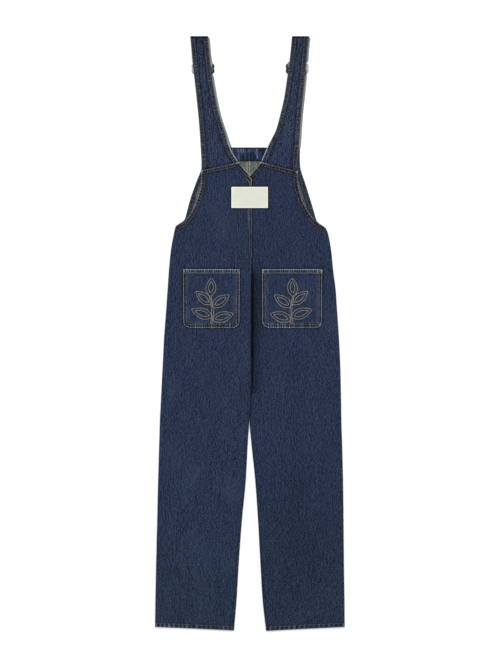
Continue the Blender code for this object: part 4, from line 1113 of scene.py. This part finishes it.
def back_strap(side):
    middle = CLOTH / 2
    base_arm, base_neck = STRAP_BASE_Y[side]
    base_y = (base_arm + base_neck) / 2
    start_y = STRAP_ROWS[side][0].y
    top_y = STRAP_TOP_Y - FOLD_RADIUS - middle
    rests = [r.above_slider for r in STRAP_REST]
    heights = [r.z for r in STRAP_REST]
    fold_high = middle + 2 * FOLD_RADIUS
    course = []
    for y in np.arange(base_y, top_y, 0.0022):
        slant = 1 - float(smoothstep(start_y, start_y + 0.05, y))
        z = float(smooth_through(rests, heights, y - SLIDER_Y)) + middle
        z = mix(z, fold_high, float(smoothstep(top_y - 0.012, top_y, y)))
        lean = (base_arm - base_neck) * slant / 2
        course.append((y + lean, y - lean, z, read_strap(side, y + lean)[0], read_strap(side, y - lean)[1]))
    shown_to = len(course)
    fold = []
    for k in range(12):
        angle = math.pi * k / 11
        fold.append((top_y + FOLD_RADIUS * math.sin(angle), middle + FOLD_RADIUS * (1 + math.cos(angle))))
    under_bar = SLIDER_Z - 2 * SEAM_GAP - middle
    above_bar = SLIDER_Z + SLIDER_THICKNESS + SEAM_GAP + middle
    bar_step = (SLIDER_HEIGHT - SLIDER_BAR) / 2
    weave = [
        (SLIDER_Y + 0.034, middle),
        (SLIDER_Y + bar_step + 0.0022, above_bar),
        (SLIDER_Y + bar_step - 0.0022, above_bar),
        (SLIDER_Y + SLIDER_BAR / 2 + SEAM_GAP, under_bar),
        (SLIDER_Y - 0.0040, middle),
        (SLIDER_Y - bar_step - TAIL_LENGTH, middle),
    ]
    path = fold[:-1] + filled_path(rounded_path([fold[-1]] + weave, radius=0.0022), PATH_STEP)
    for y, z in path:
        arm_x, neck_x = read_strap(side, y)
        shift = mix(SLIDER_SHIFT[side], LOWER_SHIFT, float(smoothstep(SLIDER_Y - 0.02, SLIDER_Y + 0.01, y)))
        shift = shift * (1 - float(smoothstep(STRAP_TOP_Y - 0.006, STRAP_TOP_Y, y)))
        edges = (arm_x + shift, neck_x + shift)
        if y > SLIDER_Y - 0.0135:
            edges = in_slider(side, y, edges)
        course.append((y, y, z, *edges))
    ys = np.array([row[0] for row in course])
    lower = np.arange(len(course)) >= shown_to
    shade = -1.5 * bell(ys - STRAP_TOP_Y, 0.0032) - np.where(lower, 0.0, 0.10) * smoothstep(0.66, 0.73, ys)
    foot = BACK_TOP_ROWS[side][0]
    seam = [(foot.arm_x, foot.arm_y), (foot.centre_x, foot.centre_y)]
    return ribbon("shoulder_strap_" + side, course, [strap_denim, inside],
                  STRAP_SEED[side], True, shown_to, shade, seam)


def front_strap(side):
    middle = CLOTH / 2
    on_tail = CLOTH + SEAM_GAP + middle
    above_bar = SLIDER_Z + SLIDER_THICKNESS + SEAM_GAP + middle
    bar_y = SLIDER_Y - (SLIDER_HEIGHT - SLIDER_BAR) / 2
    turn_y = bar_y + SLIDER_BAR / 2 + SEAM_GAP + middle
    tail_end = bar_y - TAIL_LENGTH
    corners = [
        (BIB_TOP_Y + SEAM_GAP, middle),
        (tail_end - 0.024, middle),
        (tail_end - 0.004, on_tail),
        (turn_y, on_tail),
        (turn_y, above_bar),
        (bar_y - SLIDER_BAR / 2 - 0.001, above_bar),
        (bar_y - SLIDER_BAR / 2 - 0.006, on_tail + CLOTH + SEAM_GAP),
        (bar_y - SLIDER_BAR / 2 - LOOP_LENGTH, on_tail + CLOTH + SEAM_GAP),
    ]
    course = []
    for y, z in filled_path(rounded_path(corners, radius=0.0018), PATH_STEP):
        arm_x, neck_x = read_strap(side, min(y, SLIDER_Y - 0.012))
        edges = in_slider(side, y, (arm_x + FRONT_SHIFT, neck_x + FRONT_SHIFT))
        # The sewn end of the loop stays under the back strap
        tuck = float(smoothstep(on_tail + 0.0004, on_tail + 0.0012, z))
        tuck = 0.0065 * tuck * float(smoothstep(bar_y - 0.0030, bar_y - 0.0080, y))
        arm_tuck, neck_tuck = (0.0, tuck) if side == "left" else (tuck, 0.0)
        course.append((y, y, z, edges[0] - arm_tuck, edges[1] - neck_tuck))
    return ribbon("bib_strap_" + side, course, [inside, denim], seed=440, sewn=False)


# Pieces that lie on the panels

def rows_with_corners(left, right, top, bottom, radius, taper, step):
    """Rows (y, left x, right x) of a panel with straight sides and round lower corners."""
    ys = list(np.arange(top, bottom + radius, -step))
    draws = [0.0] * len(ys)
    for angle in np.linspace(0, math.pi / 2, 9):
        ys.append(bottom + radius * (1 - math.sin(angle)))
        draws.append(radius * (1 - math.cos(angle)))
    ys, draws = np.array(ys), np.array(draws)
    narrowing = taper * (top - ys) / (top - bottom) + draws
    return ys, left + narrowing, right - narrowing


def lying_grid(rows, shares, under):
    ys, lefts, rights = rows
    x = mix(lefts[:, None], rights[:, None], shares)
    y = np.broadcast_to(ys[:, None], x.shape)
    base = draped(under.heights(x, y, CLOTH), spread=1, softness=3) + SEAM_GAP
    return x, y, base


def pocket_rows(side, step):
    return rows_with_corners(*POCKET_SIDES[side], POCKET_TOP_Y, POCKET_TOP_Y - POCKET_HEIGHT,
                             POCKET_CORNER, POCKET_TAPER, step)


def pocket_outline(side):
    ys, lefts, rights = pocket_rows(side, 0.006)
    down = np.stack([lefts, ys], axis=1)
    up = np.stack([rights, ys], axis=1)[::-1]
    return np.concatenate([down, up])


def back_pocket(side, under):
    left, right = POCKET_SIDES[side]
    x, y, base = lying_grid(pocket_rows(side, 0.0015), strip_columns(right - left, count=78), under)
    seed = POCKET_SEED[side]
    outline = pocket_outline(side)
    height, fade, tint = turned_edge(x, y, outline, 0.0104, 0.0056, seed, 0.50, 0.0004, 1.4)
    along, away = line_places(x, y, outline)
    fade = fade + lines_along(away, (0.0116, 0.0011, 0.50), (0.0110, 0.0040, 0.16))
    ropes = puckers(along, 0.0060, seed + 6)
    foot = smoothstep(0.034, 0.026, y) * smoothstep(0.0125, 0.0100, y - 0.0142)
    fade = fade + foot * (blocks(2.0 * ropes) + 0.08 * ropes)

    # The hem along the pocket's top
    down = POCKET_TOP_Y - y
    hem = smoothstep(POCKET_HEM + 0.0008, POCKET_HEM - 0.0008, down)
    humps = puckers(x + 0.5, 0.0058, seed + 1) * bell(down - 0.0060, 0.0030)
    height = np.maximum(height, hem * 0.0006) + 0.00025 * humps - EDGE_DIP * bell(down, EDGE_WIDTH)
    fade = fade * smoothstep(0.0, 0.004, down) + blocks(2.2 * humps) + 0.20 * humps
    fade += lines_along(down, (0.0015, 0.0012, 0.82), (0.0065, 0.0044, 0.02), (0.0108, 0.0012, 0.36),
                        (POCKET_HEM + 0.0030, 0.0012, -0.40))
    fade += 0.04 * lattice(x, y, 0.020, 0.045, seed + 2) + 0.03 * lattice(x, y, 0.008, 0.02, seed + 3)
    height = height + 0.00012 * lattice(x, y, 0.014, 0.025, seed + 4)
    face = grid_of(x, y, base + CLOTH + height)
    tint = np.maximum(0.45 * tint * (1 - hem), 0.35 * hem)
    return cloth_wall("back_pocket_cloth_" + side, face, CLOTH + height, fade, [denim], tint=tint)


def patch_depth(x, y):
    """How far inside the patch's outline a place lies."""
    return np.minimum(PATCH_SIZE[0] / 2 - np.abs(x - PATCH_CENTRE[0]),
                      PATCH_SIZE[1] / 2 - np.abs(y - PATCH_CENTRE[1]))


def back_patch(under):
    cx, cy = PATCH_CENTRE
    half_w, half_h = PATCH_SIZE[0] / 2, PATCH_SIZE[1] / 2
    ys, lefts, rights = rows_with_corners(cx - half_w, cx + half_w, cy, cy - half_h,
                                          PATCH_CORNER, taper=0.0, step=0.0016)
    rows = [np.concatenate([2 * cy - ys[:0:-1], ys])]
    rows += [np.concatenate([edge[:0:-1], edge]) for edge in (lefts, rights)]
    x, y, base = lying_grid(rows, np.linspace(0, 1, 57), under)
    depth = patch_depth(x, y)
    height = -0.0005 * bell(depth, 0.0007) + 0.0001 * lattice(x, y, 0.02, 0.02, 601)
    base = base + 0.0001 * puckers(x + y + 1.0, 0.008, 602) * bell(depth, 0.003)
    fade = 1.1 * bell(depth - 0.0012, 0.0013) + 0.12 * lattice(x, y, 0.03, 0.03, 603)
    face = grid_of(x, y, base + PATCH_THICKNESS + height)
    return cloth_wall("patch_cloth", face, PATCH_THICKNESS + height, fade, [cream])


# Light and dark places on the facing
Spot = namedtuple("Spot", "x down width height fade")
FACING_SPOTS = rows_of(Spot, [
    (0.0000, 0.0085, 0.0060, 0.0028, 0.55),
    (-0.0210, 0.0260, 0.0022, 0.0080, 0.40),
    (-0.0115, 0.0260, 0.0022, 0.0100, 0.45),
    (-0.0010, 0.0270, 0.0020, 0.0090, 0.40),
    (0.0115, 0.0120, 0.0018, 0.0040, 0.55),
    (0.0145, 0.0180, 0.0018, 0.0040, 0.50),
    (0.0185, 0.0240, 0.0018, 0.0040, 0.40),
    (-0.0300, 0.0140, 0.0050, 0.0050, -0.40),
    (0.0070, 0.0160, 0.0040, 0.0050, -0.40),
])


def bib_facing():
    x, y = np.meshgrid(np.linspace(*FACING_SIDES, 84),
                       np.linspace(BIB_TOP_Y - 0.0005, BIB_TOP_Y - FACING_DEPTH, 26))
    down = BIB_TOP_Y - y
    humps = puckers(x + 0.4, 0.0064, 611)
    height = 0.00035 * humps * bell(down - 0.009, 0.004) - 0.0003 * bell(down, 0.0010)
    height = height + 0.0003 * lattice(x, y, 0.012, 0.05, 612) * smoothstep(0.002, 0.012, down)
    # Painted highlights on the crowns of the puckers along the top, and painted shade in their hollows
    fade = np.clip(2.0 * humps, -0.8, 0.30) * bell(down - 0.0058, 0.0026)
    fade += 0.60 * lattice(x, y, 0.0050, 0.0160, 613) - 0.10
    # Darker just under the top edge, and a painted shadow along the lower edge
    fade += lines_along(down, (0.0022, 0.0016, -0.30), (FACING_DEPTH, 0.0035, -0.5))
    for spot in FACING_SPOTS:
        fade += spot.fade * bell(x - spot.x, spot.width) * bell(down - spot.down, spot.height)
    face = grid_of(x, y, CLOTH + SEAM_GAP + CLOTH + height + 0.0001)
    return cloth_wall("bib_facing_cloth", face, CLOTH + height, fade, [denim])


def front_hem(side):
    """The turned edge along a front armhole, lying on the front's inner face."""
    sign = SIGN[side]
    rows = FRONT_TOP_ROWS[side]
    foot = HALF_ROWS[side][0]
    places = [-row.arm_y for row in rows] + [-foot.side_y]
    edge_xs = [row.arm_x for row in rows] + [foot.side]
    y = np.linspace(BIB_TOP_Y - EDGE_BAND, rows[-1].arm_y + 0.0020, 84)
    edge = smooth_through(places, edge_xs, -y)
    lean = (smooth_through(places, edge_xs, -y - 0.001) - edge) / 0.001
    inward = np.stack([np.full(len(y), -sign), -sign * lean], axis=1)
    inward /= np.linalg.norm(inward, axis=1)[:, None]
    start = np.stack([edge - sign * HEM_SETBACK, y], axis=1)
    shares = np.linspace(0, 1, 11)
    away = FRONT_HEM_WIDTH[side] * shares
    across_hem = start[:, None, :] + inward[:, None, :] * away[None, :, None]
    x, y = across_hem[:, :, 0], across_hem[:, :, 1]
    humps = puckers(y + 1.0, 0.0074, 621)
    height = 0.00018 * humps * bell(away - 0.0053, 0.003) - EDGE_DIP * bell(away, EDGE_WIDTH)
    fade = blocks(1.2 * humps) * bell(away - 0.0060, 0.0040) - 0.10
    face = grid_of(x, y, CLOTH + SEAM_GAP + HEM_LAYER + height)
    return cloth_wall("front_armhole_hem_" + side, face, HEM_LAYER + height * 0.9, fade, [denim],
                      tint=0.4)


# Sewing

class Thread:
    """Collects stitches and makes one piece of them."""

    RING = 6
    PLACES = np.array([0.0, 0.22, 0.78, 1.0])
    SIZES = np.array([0.45, 1.0, 1.0, 0.45])

    def __init__(self):
        self.vertices, self.faces, self.count = [], [], 0

    def stitch(self, start, end, radius=THREAD_RADIUS):
        """One stitch between two points on the cloth, its ends drawn in."""
        run = end - start
        length = np.linalg.norm(run)
        run = run / length
        across_it = np.cross(run, (0.0, 0.0, 1.0))
        across_it /= np.linalg.norm(across_it)
        up = np.cross(across_it, run)
        turn = np.arange(self.RING) * math.tau / self.RING
        for place, size in zip(self.PLACES, self.SIZES):
            centre = start + run * length * place + up * radius * (size * 1.1 - 0.75)
            circle = np.cos(turn)[:, None] * across_it + np.sin(turn)[:, None] * up * 0.8
            self.vertices.append(centre + circle * radius * size)
        first, ring = self.count, self.RING
        for k in range(len(self.PLACES) - 1):
            for j in range(ring):
                a, b = first + k * ring + j, first + k * ring + (j + 1) % ring
                self.faces.append((a, b, b + ring, a + ring))
        last = first + ring * (len(self.PLACES) - 1)
        self.faces.append(tuple(range(first, first + ring))[::-1])
        self.faces.append(tuple(range(last, last + ring)))
        self.count += ring * len(self.PLACES)

    def sew(self, line, surface, pitch=STITCH, radius=THREAD_RADIUS, fill=0.80):
        """A row of stitches along a line on a surface."""
        points = resample(line, pitch)
        run = np.diff(points, axis=0)
        starts = points[:-1] + run * (1 - fill) / 2
        ends = points[1:] - run * (1 - fill) / 2
        tops_a = surface.heights(starts[:, 0], starts[:, 1], np.nan)
        tops_b = surface.heights(ends[:, 0], ends[:, 1], np.nan)
        for start, end, a, b in zip(starts, ends, tops_a, tops_b):
            if not (np.isnan(a) or np.isnan(b)):
                self.stitch(np.array([*start, a]), np.array([*end, b]), radius)

    def tack(self, start, end, width, surface):
        """A bar tack: close stitches side by side along a short line."""
        start, end = np.array(start), np.array(end)
        run = (end - start) / np.linalg.norm(end - start)
        aside = np.array([-run[1], run[0]]) * width / 2
        count = int(np.linalg.norm(end - start) / TACK_STEP)
        for k in range(count + 1):
            middle = mix(start, end, k / count)
            a, b = middle - aside, middle + aside
            top = float(surface.heights(middle[0], middle[1], CLOTH)) + TACK_LIFT
            self.stitch(np.array([*a, top]), np.array([*b, top]), TACK_THREAD)

    def piece(self, name, material):
        mesh = bpy.data.meshes.new(name)
        mesh.from_pydata(np.concatenate(self.vertices).tolist(), [], self.faces)
        mesh.materials.append(material)
        mesh.shade_smooth()
        return add_piece(name, mesh)


def inward_row(line, distance, towards):
    """A line moved by a distance to the side on which a point lies."""
    line = resample(line, 0.003)
    moved = shifted(line, distance)
    other = shifted(line, -distance)
    towards = np.array(towards)
    middle = len(line) // 2
    near = np.linalg.norm(moved[middle] - towards) < np.linalg.norm(other[middle] - towards)
    return moved if near else other


def trimmed(line, start, end):
    """A line shortened by a distance at each end."""
    spacing = 0.001
    line = resample(line, spacing)
    return line[int(start / spacing):len(line) - int(end / spacing)]


def panel_edges(side):
    """The armhole, the yoke seam and one side of the V, as lines."""
    rows = BACK_TOP_ROWS[side]
    low = HALF_ROWS[side][0]
    places = np.array([-(r.arm_y + r.centre_y) / 2 for r in rows] + [-(low.side_y + low.centre_y) / 2])
    fine = np.linspace(places[0], places[-1], 60)
    arm = np.stack([smooth_through(places, [r.arm_x for r in rows] + [low.side], fine),
                    smooth_through(places, [r.arm_y for r in rows] + [low.side_y], fine)], axis=1)
    yoke = np.array([(rows[0].arm_x, rows[0].arm_y), (rows[0].centre_x, rows[0].centre_y)])
    v = np.array([(r.centre_x, r.centre_y) for r in rows[:V_ROWS]])
    return arm, yoke, v


LEAF_POINTS = 25


def almond(base, angle, length, width, inset):
    """The outline of a leaf, fullest a little below its middle, drawn inwards by a distance."""
    t = np.linspace(0, 1, LEAF_POINTS)
    half = width / 2 * np.sin(np.pi * t ** 0.85) ** 0.9
    upper = np.stack([t * length, half], axis=1)
    lower = upper * (1, -1)
    outline = np.concatenate([upper, lower[-2::-1]])
    if inset:
        middle = np.array([length / 2, 0.0])
        scale = np.array([1 - 2.6 * inset / length, 1 - 2 * inset / width])
        outline = middle + (outline - middle) * scale
    turn = np.array([[math.cos(angle), math.sin(angle)], [-math.sin(angle), math.cos(angle)]])
    return np.array(base) + outline @ turn


Leaf = namedtuple("Leaf", "up way angle length width")
SPRIG_LEAVES = rows_of(Leaf, [
    (0.010, 1, 16, 0.056, 0.0260),
    (0.017, -1, 20, 0.056, 0.0260),
    (0.042, 1, 35, 0.053, 0.0250),
    (0.049, -1, 39, 0.051, 0.0250),
    (0.069, 1, 86, 0.046, 0.0250),
])
SPRIG_FOOT_Y = 0.0240
SPRIG_HEIGHT = 0.0690
SPRIG_SWAY = 0.0030
SPRIG_LINES = (0.0, 0.0066)    # the drawing is sewn twice, this far apart
SPRIG_THREAD = 0.00037


def sew_sprig(thread, side, surface):
    """A leafy sprig in double lines, the same on both pockets but mirrored."""
    centre = sum(POCKET_SIDES[side]) / 2
    mirror = -SIGN[side]

    def stem_x(share):
        return centre + mirror * SPRIG_SWAY * np.sin(share * 4.2)

    t = np.linspace(0, 1, 30)
    stem = np.stack([stem_x(t), SPRIG_FOOT_Y + SPRIG_HEIGHT * t], axis=1)
    for aside in (-0.0022, 0.0022):
        thread.sew(shifted(stem, aside), surface, radius=SPRIG_THREAD)
    for leaf in SPRIG_LEAVES:
        base = (stem_x(leaf.up / SPRIG_HEIGHT), SPRIG_FOOT_Y + leaf.up)
        angle = math.radians(leaf.angle)
        if leaf.way * mirror < 0:
            angle = math.pi - angle
        for inset in SPRIG_LINES:
            thread.sew(almond(base, angle, leaf.length, leaf.width, inset), surface, radius=SPRIG_THREAD)


def sew_panel(side, surface):
    sign = SIGN[side]
    inside_point = (sign * 0.06, 0.33)
    arm, yoke, v = panel_edges(side)
    thread = Thread()
    for distance in (OUTER_ROW, INNER_ROW):
        thread.sew(trimmed(inward_row(arm, distance, inside_point), distance, 0.0), surface)
        thread.sew(trimmed(inward_row(yoke, distance, inside_point), 0.001, distance * 0.6), surface)
        thread.sew(trimmed(inward_row(v, distance * 0.9, inside_point), distance * 0.5, 0.001), surface)
    foot = HALF_ROWS[side][-1]
    hem_y = HEM_BAND - 0.0022
    thread.sew([(foot.side - sign * 0.004, foot.side_y + hem_y),
                (foot.back_centre + sign * 0.003, foot.centre_y + hem_y)], surface, radius=HEM_THREAD)
    thread.piece("back_stitching_" + side, brown)
    thread = Thread()
    thread.sew(FELLED_ROWS[side], surface, radius=FINE_THREAD)
    thread.piece("centre_stitching_" + side, seam_grey)


def sew_pocket(side, surface):
    outer_thread, inner_thread, drawing = Thread(), Thread(), Thread()
    outline = pocket_outline(side)
    centre = np.mean(outline, axis=0)
    outer_thread.sew(inward_row(outline, 0.0016, centre), surface, radius=FINE_THREAD)
    inner_thread.sew(inward_row(outline, 0.0076, centre), surface, radius=0.00036)
    left, right = POCKET_SIDES[side]
    for thread, down in ((outer_thread, 0.0020), (inner_thread, POCKET_HEM - 0.0014)):
        y = POCKET_TOP_Y - down
        thread.sew([(left + 0.002, y), (right - 0.002, y)], surface, radius=FINE_THREAD)
    for x in (left + 0.0030, right - 0.0030):
        inner_thread.tack((x, POCKET_TOP_Y - 0.0016), (x, POCKET_TOP_Y - 0.0100), 0.0040, surface)
    sew_sprig(drawing, side, surface)
    drawing.piece("pocket_drawing_" + side, pale)
    outer_thread.piece("pocket_stitching_" + side, grey)
    inner_thread.piece("pocket_seam_stitching_" + side, tan)


def sew_strap(side, surface):
    thread = Thread()
    ys = np.linspace(STRAP_ROWS[side][0].y - 0.012, STRAP_TOP_Y - 0.003, 60)
    middle = (SIGN[side] * 0.11, 0.58)
    for edge in (0, 1):
        line = np.array([(read_strap(side, y)[edge], y) for y in ys])
        for distance in (OUTER_ROW, STRAP_INNER_ROW):
            thread.sew(inward_row(line, distance, middle), surface)
    thread.piece("strap_stitching_" + side, brown)


def sew_armhole(side, surface):
    thread = Thread()
    sign = SIGN[side]
    line = [(row.arm_x - sign * HEM_SETBACK, row.arm_y) for row in FRONT_TOP_ROWS[side]]
    for distance in (OUTER_ROW, INNER_ROW):
        thread.sew(inward_row(line, distance, (0.0, 0.35)), surface)
    thread.piece("armhole_stitching_" + side, brown)


# Golden rows at the V and down the middle of the bib, each with its thread's radius
GOLDEN_ROWS = [
    ("v_stitching", "back", [
        (0.00052, [(-0.0057, 0.3955), (0.0040, 0.3852), (0.0028, 0.3700)]),
        (0.00030, [(-0.0110, 0.3890), (-0.0012, 0.3782), (0.0002, 0.3690)]),
    ]),
    ("bib_stitching", "bib", [
        (0.00052, [(-0.0016, 0.4300), (-0.0016, 0.3960)]),
        (0.00031, [(-0.0082, 0.4300), (-0.0082, 0.4000)]),
        (0.00031, [(-0.0056, 0.4300), (-0.0056, 0.4000)]),
    ]),
]


def sew_everything(panels, pockets, straps, fronts, hems):
    """Every row of stitches, laid on the finished cloth."""
    for side in SIDES:
        sew_panel(side, Surface(panels[side]))
        sew_pocket(side, Surface(pockets[side]))
        sew_strap(side, Surface(straps[side]))
        sew_armhole(side, Surface(hems[side]))
    for name, cloths, rows in GOLDEN_ROWS:
        surface = Surface(*{"back": panels, "bib": fronts}[cloths].values())
        thread = Thread()
        for radius, line in rows:
            thread.sew(line, surface, radius=radius)
        thread.piece(name, gold)


# Setting

FLOOR_HALF_WIDTH = 3.0
FLOOR_LINES = 13
FLOOR_Z = -0.0002
FLOOR_COLOUR = (0.96, 0.96, 0.96)
WORLD_LIGHT = 0.75
CAMERA_HEIGHT = 6.0
PICTURE_HEIGHT = 1.6675        # the camera sees this many metres of the floor from top to bottom
SENSOR = 36.0
Lamp = namedtuple("Lamp", "name place size power")
LAMPS = [
    Lamp("key", (-0.8, 1.8, 3.6), 1.8, 74.0),
    Lamp("fill", (1.6, -1.4, 3.6), 2.4, 34.0),
]


def add_stage():
    places = np.linspace(-FLOOR_HALF_WIDTH, FLOOR_HALF_WIDTH, FLOOR_LINES)
    x, y = np.meshgrid(places, places)
    points = grid_of(x, y, np.full(x.shape, FLOOR_Z)).reshape(-1, 3)
    floor_mesh = bpy.data.meshes.new("floor")
    floor_mesh.from_pydata(points.tolist(), [], grid_faces(FLOOR_LINES, FLOOR_LINES).tolist())
    floor = add_object("floor", floor_mesh)
    material, tree, shader, coords = new_material("pale_floor", 0.9, specular=0.1)
    light = ramp(tree, noise(tree, coords, (40, 40, 40)), 0.3, 0.7, 0.995, 1.005)
    tree.links.new(scaled(tree, FLOOR_COLOUR, light), shader.inputs["Base Color"])
    floor_mesh.materials.append(material)

    world = bpy.data.worlds.new("studio")
    world.use_nodes = True
    background = world.node_tree.nodes["Background"]
    background.inputs["Color"].default_value = (1.0, 1.0, 1.0, 1.0)
    background.inputs["Strength"].default_value = WORLD_LIGHT
    bpy.context.scene.world = world

    for lamp in LAMPS:
        light = bpy.data.lights.new(lamp.name, "AREA")
        light.size = lamp.size
        light.energy = lamp.power
        thing = add_object(lamp.name, light, lamp.place)
        thing.rotation_euler = (-Vector(lamp.place)).to_track_quat("-Z", "Y").to_euler()

    camera = bpy.data.cameras.new("camera")
    camera.sensor_width = SENSOR
    camera.lens = SENSOR * CAMERA_HEIGHT / PICTURE_HEIGHT
    bpy.context.scene.camera = add_object("camera", camera, (0.0, 0.0, CAMERA_HEIGHT))
    bpy.context.scene.view_settings.view_transform = "Standard"


def sheet(node):
    """Hide the CAD part that a cloth piece stands in for."""
    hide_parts(node)


def main():
    add_stage()
    fronts, hems, straps, low_straps, panels, pockets = {}, {}, {}, {}, {}, {}
    for side in SIDES:
        fronts[side] = front_panel(side)
        hems[side] = front_hem(side)
        straps[side] = back_strap(side)
    for side in SIDES:
        low_straps[side] = front_strap(side)
    facing = bib_facing()
    under = Surface(*fronts.values(), *hems.values(), *straps.values(), facing)
    for side in SIDES:
        panels[side] = back_panel(side, under)
    on_back = Surface(*panels.values())
    for side in SIDES:
        pockets[side] = back_pocket(side, on_back)
    patch = back_patch(on_back)
    sew_everything(panels, pockets, straps, fronts, hems)

    for side in SIDES:
        sheet("front_panel_" + side)
        sheet("front_hem_" + side)
        sheet("back_strap_" + side)
        sheet("front_strap_" + side)
        sheet("back_panel_" + side)
        sheet("back_pocket_" + side)
        for material_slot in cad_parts["slider_" + side].material_slots:
            material_slot.material = brass
    sheet("back_patch")
    sheet("bib_facing")


main()
